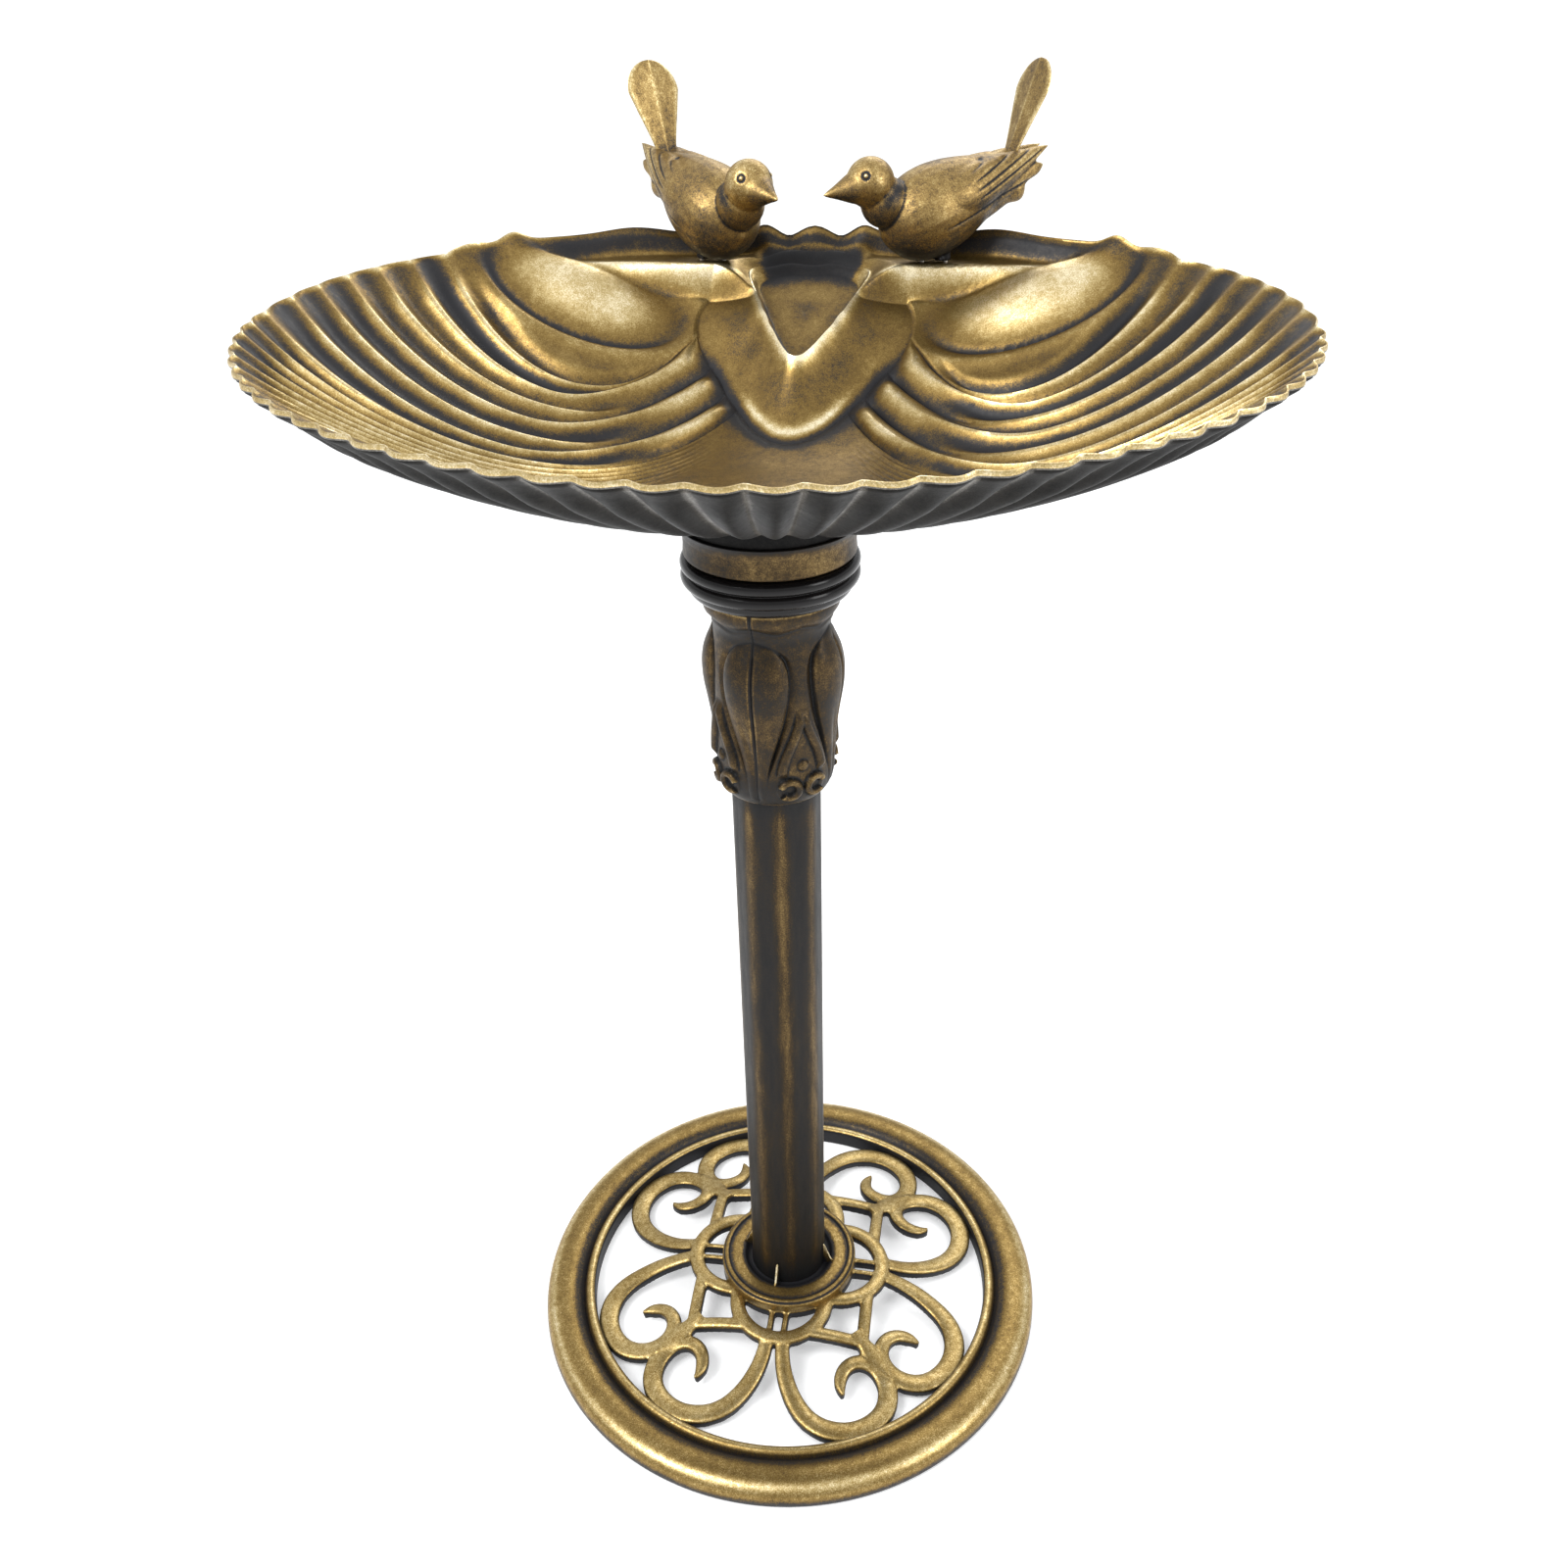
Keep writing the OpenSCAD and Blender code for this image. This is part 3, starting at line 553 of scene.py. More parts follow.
def foot_flange():
    z = hub_h
    top = hub_h + 8
    r = hub_r + flange_lap
    socket_r = pole_r + CLEARANCE
    socket_z = z + 2.5
    outline = [[bolt_hole_r, z], [r, z], [r, top - 2.6], [r - 0.6, top - 2.0], [r - 1.5, top - 1.7],
               [r - 1.7, top - 0.7], [r - 2.4, top - 0.1], [r - 3.6, top], [r - 4.6, top - 0.3],
               [r - 5.2, top - 1.1], [r - 9, top - 0.9], [pole_r + 8, top - 0.9],
               [pole_r + 5.2, top - 1.5], [pole_r + 3.4, top - 3.2], [pole_r + 1.6, top - 3.6],
               [socket_r, top - 3.4], [socket_r, socket_z], [bolt_hole_r, socket_z]]
    shells = [revolve(rounded(outline, 0.5, 4), 224)]
    gusset = np.array([[0.2, -4.0], [7.4, -4.0], [7.2, 0.2], [5.4, 1.8], [1.6, 12.0], [0.8, 13.8],
                       [0.2, 14.0]])
    slices = (-0.6, -0.35, 0.35, 0.6)
    outer = [0, -1]
    for quarter in range(4):
        a = pole_turn + quarter * QUARTER
        out, across = np.array([math.cos(a), math.sin(a), 0]), np.array([-math.sin(a), math.cos(a), 0])
        profile = [out * (pole_r + x) + np.array([0, 0, top - 0.9 + h]) for x, h in gusset]
        plate = np.array([[c + across * w for c in profile] for w in slices])
        middle = plate.mean(1, keepdims=True)
        plate[outer] = middle[outer] + (plate[outer] - middle[outer]) * 0.94
        faces = grid_faces(len(slices), len(gusset)) + end_faces(len(slices), len(gusset))
        shells.append((plate, faces))
    obj = new_object("foot_flange_cast", shells)
    p = coords(obj)
    r_at = np.hypot(p[:, 0], p[:, 1])
    # The gussets carry a painted highlight; the grooves and the ring round the pole's foot are darker.
    on_gusset = p[:, 2] >= top + 0.5
    patina_and_light = -0.1 + 1.1 * bump(r_at, hub_r - 4.8, 0.9) + 0.9 * bump(r_at, hub_r - 1.1, 0.5)
    patina_and_light += 1.3 * ramp(pole_r + 9, pole_r + 4, r_at)
    set_patina(obj, np.where(on_gusset, -0.9, patina_and_light))
    finish_piece(obj, "stand", "bronze", [bronze_foot], "foot_flange")


foot_ring()
foot_scrollwork()
foot_flange()


# ---- pole, capital, collar and neck

FLUTES = 8


def pole_flute(a):
    """1 in the middle of a flute of the pole, 0 between two."""
    return 0.5 + 0.5 * np.cos(FLUTES * (a - pole_turn))


def pole():
    bore = pole_r - 2.2
    low, high = pole_low[2], pole_high[2]
    z = np.linspace(low + 0.3, high - 0.3, 60)
    ends = [[pole_r - 0.4, high], [bore, high], [bore, low], [pole_r - 0.4, low]]
    outline = np.concatenate([np.column_stack([np.full(len(z), pole_r), z]), ends])

    def fluted(r, z, a):
        dent = 0.6 * pole_flute(a) ** 1.5
        return np.where(r > bore + 1, r - dent * ramp(low, low + 12, z), r)

    obj = new_object("pole_tube", [revolve(outline, 256, fluted)])
    p = coords(obj)
    flute = pole_flute(np.arctan2(p[:, 1], p[:, 0]))
    # Darker in the middle of each flute; painted shade under the capital and just above the flange.
    patina_and_light = 0.15 + 0.4 * flute - 0.35 * (1 - flute) ** 3
    patina_and_light += 0.6 * ramp(capital_z - 14, capital_z, p[:, 2]) + 0.7 * ramp(52, 36, p[:, 2])
    set_patina(obj, patina_and_light)
    finish_piece(obj, "stand", "dark_bronze_metal", [dark_tube], "pole")


# Radii and leaf sizes along a share of the capital's height
CAPITAL_SHAPE = [(0, 28.6), (0.03, 30.6), (0.08, 32), (0.16, 32.2), (0.3, 32.2), (0.46, 32.6), (0.6, 33),
                 (0.72, 32.4), (0.81, 31.2), (0.86, 31.3), (0.90, 33.2), (0.94, 35.6), (0.97, 36.2),
                 (1, 35.8)]
LEAF_LOW, LEAF_TIP = 0.04, 0.85
LEAF_HALF = [(LEAF_LOW, 4.5), (0.14, 5.4), (0.24, 7.6), (0.34, 11), (0.46, 15.2), (0.58, 17.8),
             (0.66, 18.4), (0.73, 17.2), (0.79, 13.4), (0.83, 7.5), (LEAF_TIP, 0.5)]
LEAF_SWELL = [(LEAF_LOW, 0.4), (0.2, 1.6), (0.4, 3.4), (0.58, 5.6), (0.67, 5.6), (0.75, 4.0),
              (0.81, 1.8), (LEAF_TIP, 0.3)]
CURL_AT, CURL_H, CURL_R = -7.6, 0.10, 5.0
KNOB_H = 0.22


def domed(off, half):
    """A round ridge's height, 1 over its middle line and 0 past its half width."""
    return np.sqrt(np.clip(1 - (off / half) ** 2, 0, 1))


def capital_radius(a, h):
    """Radius of the capital at an angle and a share of its height, with its leaves, bars and curls."""
    base = smooth(CAPITAL_SHAPE, h)
    off = (a - pole_turn + QUARTER / 2) % QUARTER - QUARTER / 2
    arc_mm = off * base
    half = np.maximum(smooth(LEAF_HALF, np.clip(h, LEAF_LOW, LEAF_TIP)), 0.3)
    share = np.clip(np.abs(arc_mm) / half, 0, 2)
    inside = (h > LEAF_LOW) & (h < LEAF_TIP)
    leaf = smooth(LEAF_SWELL, h) * np.clip(1 - share ** 2.4, 0, 1) ** 0.62
    leaf -= 1.1 * bump(arc_mm, 0, 0.9) * ramp(0.12, 0.3, h) * ramp(0.83, 0.76, h)
    leaf -= 0.9 * bump(np.abs(arc_mm), 7 * ramp(0.1, 0.6, h), 1.7) * ramp(0.54, 0.25, h)
    between = (np.abs(off) - QUARTER / 2) * base
    bar_line = -1.2 - 10.5 * ramp(0.50, 0.18, h)
    bars = 3.2 * domed(between - bar_line, 2.9) * ramp(0.16, 0.21, h) * ramp(0.52, 0.45, h)
    curl_x, curl_y = between - CURL_AT, (h - CURL_H) * capital_h
    curl_a = np.arctan2(curl_y, curl_x)
    open_side = np.where((curl_a > -2.4) & (curl_a < 2.75), 1.0, 0.25)
    curl = 2.9 * domed(np.hypot(curl_x, curl_y) - CURL_R, 2.2) * open_side
    knob = 2.0 * domed(np.hypot(between, (h - KNOB_H) * capital_h), math.sqrt(11))
    deep = -2.2 * ramp(1.30, 1.02, share) * ramp(0.96, 1.04, share) * ramp(0.12, 0.3, h) * ramp(0.84, 0.74, h)
    outer = np.maximum(np.maximum(bars, curl), knob) + deep
    total = np.where(inside & (share < 1), leaf, outer)
    garland = 0.9 * bump(h, 0.905 + 0.012 * np.cos(8 * (a - pole_turn)), 0.014)
    return base + total - garland


def capital_half(side):
    """Half of the capital, from seam to seam, with the relief on its outside."""
    name = "capital_left" if side < 0 else "capital_right"
    rows, cols = 210, 300
    seam = 0.12 / 31
    edge = 0.8
    bore = pole_r + CLEARANCE
    h = np.concatenate([[0, 0], np.linspace(0.004, 0.996, rows), [1, 1]])[:, None]
    middle = pole_turn + (TAU / 2 if side < 0 else 0)
    a = middle + np.linspace(-1, 1, cols)[None] * (QUARTER - seam)
    to_end = np.minimum(h * capital_h, (1 - h) * capital_h)
    r = capital_radius(a, h) - edge * (1 - np.clip(to_end / edge, 0, 1)) ** 2
    r[[0, -1]] = bore
    z = np.broadcast_to(capital_z + h * capital_h, r.shape)
    outer, inner = (np.stack([radius * np.cos(a), radius * np.sin(a), z], -1)
                    for radius in (r, np.full_like(r, bore)))
    loop = np.concatenate([outer, inner[:, ::-1]], 1)
    obj = new_object(name + "_cast", [(loop, grid_faces(*loop.shape[:2]))])
    face_outwards(obj.data, weld=True)
    low = relief(obj, 26)
    fine = relief(obj, 7)
    p = coords(obj)
    hh = (p[:, 2] - capital_z) / capital_h
    patina_and_light = 0.02 + 1.3 * ramp(0.05, 0.9, low) - 0.75 * ramp(0.1, 1.2, -low) + 0.5 * ramp(0.03, 0.2, fine)
    patina_and_light += 0.35 * ramp(0.80, 0.86, hh) * ramp(0.93, 0.89, hh) + 0.4 * ramp(0.2, 0.0, hh)
    patina_and_light -= 0.35 * ramp(0.03, 0.15, -fine) * ramp(0.2, 0.1, hh)
    seam_off = np.abs(np.sin(np.arctan2(p[:, 1], p[:, 0]) - middle - QUARTER)) * 33
    patina_and_light += 1.3 * ramp(1.5, 0.5, seam_off)
    set_patina(obj, patina_and_light)
    finish_piece(obj, "stand", "dark_bronze", [dark_bronze], name, sharp=50)


def collar():
    z = collar_low[2]
    h = collar_high[2] - z
    bore = pole_r + 5.05
    lower = arc(collar_r - 3.6, z + 0.48 * h, 3.6, 3.9, -80, 62, 18)
    upper = arc(collar_r - 3.6, z + h - 3.9, 3.6, 3.8, -62, 88, 20)
    foot = [[bore, z + 0.4], [bore + 0.5, z], [bore + 2.8, z], [bore + 3.4, z + 0.4], [bore + 4.4, z + 1.6]]
    neck = arc(collar_r - 8.6, z + 0.26 * h, 5.3, 5.0, -62, -5, 10)
    top = [[bore + 0.5, z + h], [bore, z + h - 0.5]]
    outline = np.concatenate([foot, neck, lower, upper, top])
    obj = new_object("collar_ring", [revolve(outline, 224)])
    finish_piece(obj, "collar", "black_gloss", [black_gloss], "collar")


def neck():
    low, high = seat_z + CLEARANCE, rim_seat
    mouth_r = cup_r - cup_wall
    bore = 15 + CLEARANCE
    outer = [[cup_r - 1.6, low], [cup_r - 0.4, low + 0.5], [cup_r, low + 1.8], [cup_r - 0.3, low + 6],
             [cup_r - 0.2, high - 6], [cup_r + 0.5, high - 3], [collar_r - 0.5, high - 1.2],
             [collar_r, high - 0.4], [collar_r - 0.5, high]]
    inner = [[mouth_r + 0.4, high], [mouth_r, high - 0.5], [mouth_r, low + 5.4],
             [mouth_r - 0.5, low + 5], [bore, low + 5], [bore, low]]
    obj = new_object("neck_cup_cast", [revolve(rounded(outer + inner, 0.5, 4), 240)])
    p = coords(obj)
    a = np.arctan2(p[:, 1], p[:, 0])
    streak = 0.22 * np.sin(2 * a + 0.6) + 0.1 * np.sin(11 * a) * np.sin(5 * a + 1)
    outside = np.hypot(p[:, 0], p[:, 1]) > cup_r - 2
    patina_and_light = np.where(outside, streak - 0.1 + 0.7 * ramp(high - 5, high, p[:, 2]), 0.9)
    set_patina(obj, patina_and_light)
    finish_piece(obj, "neck", "bronze", [dark_bronze], "neck_cup")


pole()
capital_half(-1)
capital_half(1)
collar()
neck()


# ---- basin

# The columns and rows follow the CAD basin: middle of the bib, its edge, along a flute, up to the rim.
# A column is placed by its rim angle t, -90 at the front and 90 at the back, and by its flute number q.
# The tables give, along those angles, the bib's spokes, its edge and lip, and where each flute bends.
FRONT_FLUTES, SIDE_FLUTES = 18, 7
ALL_FLUTES = FRONT_FLUTES + SIDE_FLUTES
FLUTE_END = 45
BIB_C = np.array([0.0, basin_b - 48])
BIB_TURN = [(-90, 0), (-45, 12), (-10, 24), (6.4, 31.5), (19.3, 51), (32.1, 70), (45, 90), (58, 99),
            (68, 106), (76, 116), (82, 132), (90, 180)]
BIB_EDGE = [(0, 85), (11.5, 76), (28.6, 62.6), (54.6, 55), (70.7, 60.4), (90, 63), (99, 60), (106, 54),
            (118, 51.5), (125, 51), (140, 45), (180, 38)]
LIP_EDGE = [(0, 43), (15, 33.5), (30, 27), (60, 22.5), (90, 25), (110, 31.5), (125, 43), (140, 39),
            (180, 31)]
BEND_X = [(-90, 0), (-45, 60), (-10, 115), (7, 126), (28, 128.5), (45, 115), (58, 105), (68, 85), (76, 60),
          (82, 34), (90, 0)]
BEND_Y = [(-90, -65), (-45, -75), (-10, -85), (7, -60), (16, -23.5), (28, 16), (45, 45), (58, 110),
          (68, 158), (76, 180), (82, 180), (90, 182)]
BEND_AT = np.array([basin_a / 252, basin_b / 188])
PAD_C = np.array([125.0, basin_b - 50])
PAD_R = np.array([52.0, 23.0])
EAR_C = np.array([168.0, 150.0])
LEDGE_FRONT, LEDGE_FLAT = 150, 156
FLUTE_D = 6.4
FIRST_FINGER = 19
tones = np.random.default_rng(5).uniform(-1, 1, (2, ALL_FLUTES + 1))


def softened(table, t):
    """A table's straight pieces, with its corners smoothed over a few degrees."""
    xs, ys = np.array(table, float).T
    return sum(np.interp(np.clip(t + s, -90, 90), xs, ys) for s in np.linspace(-4, 4, 9)) / 9


def half_columns():
    """Rim angle and flute number of each column, from the front round to the back."""
    q = np.arange(0, ALL_FLUTES, 1 / 14)
    t = np.interp(q, [0, FRONT_FLUTES, ALL_FLUTES], [-90, 0, FLUTE_END])
    back = np.linspace(FLUTE_END, 90, 91)
    return np.concatenate([t, back]), np.concatenate([q, np.full(len(back), float(ALL_FLUTES))])


def rim_line(t):
    """The rim's outline, a little squarer behind than in front."""
    a = np.radians(t)
    p = np.where(t < 0, 1.0, 0.87)
    x = basin_a * np.maximum(np.cos(a), 0) ** p
    y = basin_b * np.sign(a) * np.abs(np.sin(a)) ** p
    return np.stack([x, y], -1)


def spoke(a, r):
    """A point at a turn and a distance from the bib's middle."""
    a = np.radians(a)
    return BIB_C + np.stack([r * np.sin(a), -r * np.cos(a)], -1)


def rim_share(p):
    """How far out a point lies: 0 in the middle, 1 on the rim."""
    n = np.where(p[..., 1] < 0, 2.0, 2.3)
    x, y = np.abs(p[..., 0]) / basin_a, np.abs(p[..., 1]) / basin_b
    return (x ** n + y ** n) ** (1 / n)


def dish(p):
    """Height of the plain dish, without its bib, ledge and flutes."""
    rim = rim_z + rim_rise / 2 * p[..., 1] / basin_b + tip_lift * (p[..., 0] / basin_a) ** 2
    return floor_z + (rim - floor_z) * np.maximum(0, (rim_share(p) - 0.15) / 0.85) ** 1.8


def trough(q):
    """0 on a flute's crest, about 1 at the bottom of its hollow, steeper on one side."""
    s = (q % 1) ** 1.2
    return np.maximum(np.sqrt(np.sin(math.pi * s) ** 2 + 0.012) - 0.11, 0)


def bib_reach(table, turn):
    """Distance of a line of the bib from its middle, with a rounded point at the front."""
    xs, ys = np.array(table, float).T
    return sum(np.interp(np.abs(turn + s), xs, ys) for s in np.linspace(-7, 7, 9)) / 9


def pocket(p):
    """Height of the panel inside the bib's lip."""
    return floor_z + 34 + 0.5 * (p[..., 1] - BIB_C[1] + 40)


def on_ledge(p, t):
    """1 on the flat ledge where the birds stand, 0 off it."""
    flat = ramp(LEDGE_FRONT, LEDGE_FLAT, p[..., 1]) * ramp(50, 60, t) * ramp(24, 36, np.abs(p[..., 0]))
    return flat * (1 - ramp(0.958, 0.982, rim_share(p)))


def wall_tone(p):
    """The dark wall behind the bib's panel."""
    return ramp(31, 25, np.abs(p[..., 0])) * ramp(168, 171, p[..., 1]) * ramp(182, 176, p[..., 1])


def ledge_tone(p, t):
    """A lighter flat ledge, a painted highlight along its front edge and painted shade on the wall under the
    rim.
    """
    front_highlight = bump(p[..., 1], LEDGE_FLAT - 1.5, 2.2) * ramp(52, 60, t) * ramp(30, 46, p[..., 0])
    share = rim_share(p)
    rim_wall_shade = ramp(0.962, 0.972, share) * ramp(0.990, 0.978, share) * ramp(48, 58, t)
    return 0.55 * rim_wall_shade - 0.20 * on_ledge(p, t) - 0.75 * front_highlight


def bib_rows(t, turn, crease):
    """Rows from the bib's middle over its lip to its edge, which is open at the back."""
    edge = bib_reach(BIB_EDGE, turn)
    lip = bib_reach(LIP_EDGE, turn)
    edge_p, lip_p = spoke(turn, edge), spoke(turn, lip)
    lip_z = np.maximum(pocket(lip_p) + 5 * ramp(150, 120, turn), dish(lip_p) + 7 * (1 - ramp(100, 150, turn)))
    lip_z = np.minimum(lip_z, ledge_z - 1)
    edge_z = dish(edge_p) + (ledge_z - dish(edge_p)) * on_ledge(edge_p, t)
    panel_end = 0.82
    rows, patina_and_light = [], []
    for v in np.linspace(0.04, panel_end, 12):
        p = spoke(turn, v * lip)
        rows.append(np.column_stack([p, pocket(p)]))
        behind = ramp(0.6, panel_end, v) * ramp(120, 140, turn)
        patina_and_light.append(0.22 - 0.3 * bump(v, 0.45, 0.25) + 0.5 * behind)
    for v in np.linspace(0, 1, 9)[1:-1]:
        p = spoke(turn, (panel_end + (1 - panel_end) * v) * lip)
        rows.append(np.column_stack([p, pocket(p) * (1 - ramp(0, 1, v)) + lip_z * ramp(0, 1, v)]))
        # From dark at the panel up to a painted highlight on the lip.
        tone = (0.75 - 1.1 * v) * ramp(112, 90, turn) - 0.35 * ramp(100, 114, turn) * ramp(140, 126, turn)
        patina_and_light.append(tone + 0.9 * ramp(130, 142, turn))
    for v in np.linspace(0, 1, 30)[:-1]:
        p = spoke(turn, lip + (edge - lip) * v)
        roll = 1.3 * bump(v, 0.02, 0.08) * ramp(140, 120, turn) - 1.5 * bump(v, 1, 0.12) * crease
        rows.append(np.column_stack([p, edge_z + (lip_z - edge_z) * (1 - v) ** 1.5 + roll]))
        # A painted highlight along the lip and a bright band just above the crease, also a painted highlight;
        # a dark line runs along the crease itself.
        tone = bump(v, 1, 0.16) * crease - bump(v, 0, 0.09) * ramp(135, 120, turn)
        tone -= (0.8 * ramp(40, 20, turn) + 0.2) * bump(v, 0.78, 0.09) * crease - 0.15 * bump(v, 0.35, 0.2)
        patina_and_light.append(tone + wall_tone(p) + ledge_tone(p, t))
    return rows, patina_and_light


def flute_rows(t, q, side, edge_p, crease):
    """Rows from the bib's edge along the flutes, past the shoulder pad and the ledge, to the rim."""
    bend = np.stack([softened(BEND_X, t), softened(BEND_Y, t)], -1) * BEND_AT
    hollow = trough(q)
    crest = 1 - hollow
    end = rim_line(t)
    scallop = 3.0 * crest * ramp(FLUTE_END + 1, FLUTE_END - 6, t)
    end = end * (1 - scallop / np.linalg.norm(end, axis=1))[:, None]
    tone_of = tones[0 if side > 0 else 1][np.clip(np.floor(q).astype(int), 0, ALL_FLUTES)]
    late = ramp(-14, -48, t)
    finger = np.abs(np.cos(math.pi / 2 * (q - FIRST_FINGER))) ** 0.7
    fingers = ramp(17.6, 18.4, q) * ramp(24.3, 23.7, q)
    rows, patina_and_light = [], []
    for u in 1 - (1 - np.linspace(0, 1, 92)) ** 1.15:
        p = (1 - u) ** 2 * edge_p + 2 * u * (1 - u) * bend + u * u * end
        x, y = p[:, 0], p[:, 1]
        ledge = on_ledge(p, t)
        off_ledge = ramp(LEDGE_FLAT, LEDGE_FRONT - 2, y)

        # the shoulder pad, with a groove and a roll round it
        d = np.sqrt(((x - PAD_C[0]) / PAD_R[0]) ** 2 + ((y - PAD_C[1]) / PAD_R[1]) ** 2)
        swell = 9 * np.where(d < 1, (1 - np.minimum(d, 1) ** 2) ** 2, 0)
        groove = bump(d, 1.06, 0.075) * ramp(-0.3, 0.5, u) * off_ledge * ramp(150, 126, y)
        roll = bump(d, 1.34, 0.17) * off_ledge * ramp(110, 60, t)
        ear = 4.5 * bump(x, EAR_C[0], 9) * bump(y, EAR_C[1], 6)

        # the flutes, which start late in front, and the rounded heads of their fingers
        start = ramp(0.06, 0.34, u) * ramp(8, -10, t) + ramp(0.10, 0.36, u) * ramp(-10, 8, t)
        start *= 1 - late * ramp(0.92, 0.45, u)
        near_rim = 1 - 0.55 * ramp(0.90, 0.975, u)
        depth = FLUTE_D * start * ramp(36, 105, np.hypot(x, y)) * near_rim * ramp(0.95, 1.5, d)
        depth = depth * ramp(FLUTE_END + 1, FLUTE_END - 3, t)
        rise = fingers * ramp(-0.01, 0.05, u) * ramp(0.50, 0.18, u)

        # the wavy crest of the rim behind the birds
        wave = 3.0 * bump(x, 0, 8) - 2.5 * bump(x, 15, 6) + 3.5 * bump(x, 29, 7)
        wave += 3.0 * bump(x, 105, 20) - 1.5 * bump(x, 62, 16)
        wave = wave * ramp(0.93, 1, rim_share(p)) * ramp(40, 60, t)

        z = dish(p) - depth * hollow + rise * (8.5 * finger - 2.8) + swell - 2.4 * groove + 2.2 * roll + ear
        rows.append(np.column_stack([p, z * (1 - ledge) + ledge_z * ledge + wave]))

        shown = np.clip(depth / FLUTE_D, 0, 1)
        # The hollows darken as patina, by a random amount from flute to flute, and the crests carry a painted
        # highlight.
        tone = 0.05 + shown * (1.25 * hollow ** 1.4 * (0.62 + 0.5 * tone_of) - 0.80 * crest ** 2)
        # The fingers' tips carry a painted highlight, and the ground between them is darker.
        tone += rise * (0.95 * (1 - finger) ** 1.5 - 0.75 * finger ** 3 * ramp(0.3, 0.1, u))
        tone += bump(u, 0, 0.02) * crease
        # The pad and the roll round it carry a painted highlight; the groove round the pad is dark.
        tone += 0.6 * groove - 0.75 * ramp(1.05, 0.45, d) * off_ledge - 0.3 * roll
        tone += ledge_tone(p, t) + wall_tone(p) * ramp(0.99, 0.97, rim_share(p))
        # A darker band just inside the rim, then a painted highlight on the rim's edge.
        tone += 0.25 * ramp(0.9, 0.97, u) - 0.9 * ramp(0.985, 1, u)
        patina_and_light.append(tone)
    return rows, patina_and_light


def basin_half(t, q, side):
    """Points and patina of one half of the basin's inside, row by row from the bib's middle."""
    turn = softened(BIB_TURN, t)
    crease = ramp(80, 56, turn)
    bib, bib_tone = bib_rows(t, turn, crease)
    edge_p = spoke(turn, bib_reach(BIB_EDGE, turn))
    flutes, flute_tone = flute_rows(t, q, side, edge_p, crease)
    return np.stack(bib + flutes), np.stack(bib_tone + flute_tone)


def all_round(right, left):
    """The right half's columns, then the left half's on the way back, without the two they share."""
    return np.concatenate([right, left[:, -2:0:-1]], 1)


# Steps in from the rim and down round its edge
RIM_EDGE = [(0.25, -0.12), (0.0, -0.9), (0.0, -2.1), (0.3, -2.85)]


def basin():
    t, q = half_columns()
    right, tone_r = basin_half(t, q, 1)
    left, tone_l = basin_half(t, q, -1)
    top = all_round(right, left * np.array([-1, 1, 1]))
    tone = all_round(tone_r, tone_l)
    rim = top[-1].copy()
    inward = rim[:, :2] / np.linalg.norm(rim[:, :2], axis=1)[:, None]
    under = top.copy()
    under[..., 2] -= basin_wall
    edge = np.stack([rim + np.column_stack([-inward * inset, np.full(len(rim), drop)])
                     for inset, drop in RIM_EDGE])
    top[-1, :, :2] -= inward * 0.9
    under[-1, :, :2] -= inward
    loop = np.concatenate([top, edge, under[::-1]])
    rows, cols = loop.shape[:2]
    last_row = (rows - 1) * cols
    middle = np.array([BIB_C[0], BIB_C[1], top[0, :, 2].mean()])
    points = np.concatenate([loop.reshape(-1, 3), [middle, middle - [0, 0, basin_wall]]])
    top_middle, under_middle = rows * cols, rows * cols + 1
    faces = grid_faces(rows, cols)
    faces += [[top_middle, (c + 1) % cols, c] for c in range(cols)]
    faces += [[under_middle, last_row + c, last_row + (c + 1) % cols] for c in range(cols)]

    plug_r, plug_bore = cup_r - cup_wall - CLEARANCE, cup_r - 8.5
    plug_low, plug_seat, plug_top = rim_seat - 9, rim_seat + 0.02, floor_z - 1
    plug = [[plug_bore, plug_low], [plug_r, plug_low], [plug_r, plug_seat], [cup_r, plug_seat],
            [cup_r, plug_top], [plug_bore, plug_top]]
    obj = new_object("basin_shell", [(points, faces), revolve(rounded(plug, 0.6, 4), 200)])

    # The underside is dark, painted shade, with lighter crests along the flutes; the rim's edge carries a
    # painted highlight, and hollows darken with patina.
    crest, flute_end = 1 - trough(q), ramp(FLUTE_END + 3, FLUTE_END - 3, t)
    under_tone = np.tile(0.75 - 1.45 * crest ** 4 * flute_end, (len(under), 1))
    under_tone = all_round(under_tone, under_tone)
    rim_edge_highlight = np.full((len(edge), cols), -0.6)
    marks = np.concatenate([tone.ravel(), rim_edge_highlight.ravel(), under_tone.ravel(), [0.2, 0.8]])
    marks = np.concatenate([marks, np.full(len(obj.data.vertices) - len(marks), 0.8)])
    set_patina(obj, marks + 0.3 * ramp(0.1, 0.9, relief(obj, 10)))
    finish_piece(obj, "basin", "bronze", [bronze, shaded_under_bronze], "basin", sharp=60)
    index = np.ones(len(obj.data.polygons), np.int32)
    index[:(len(top) + 2) * cols] = 0
    index[last_row:last_row + cols] = 0
    obj.data.polygons.foreach_set("material_index", index)


basin()


# ---- birds

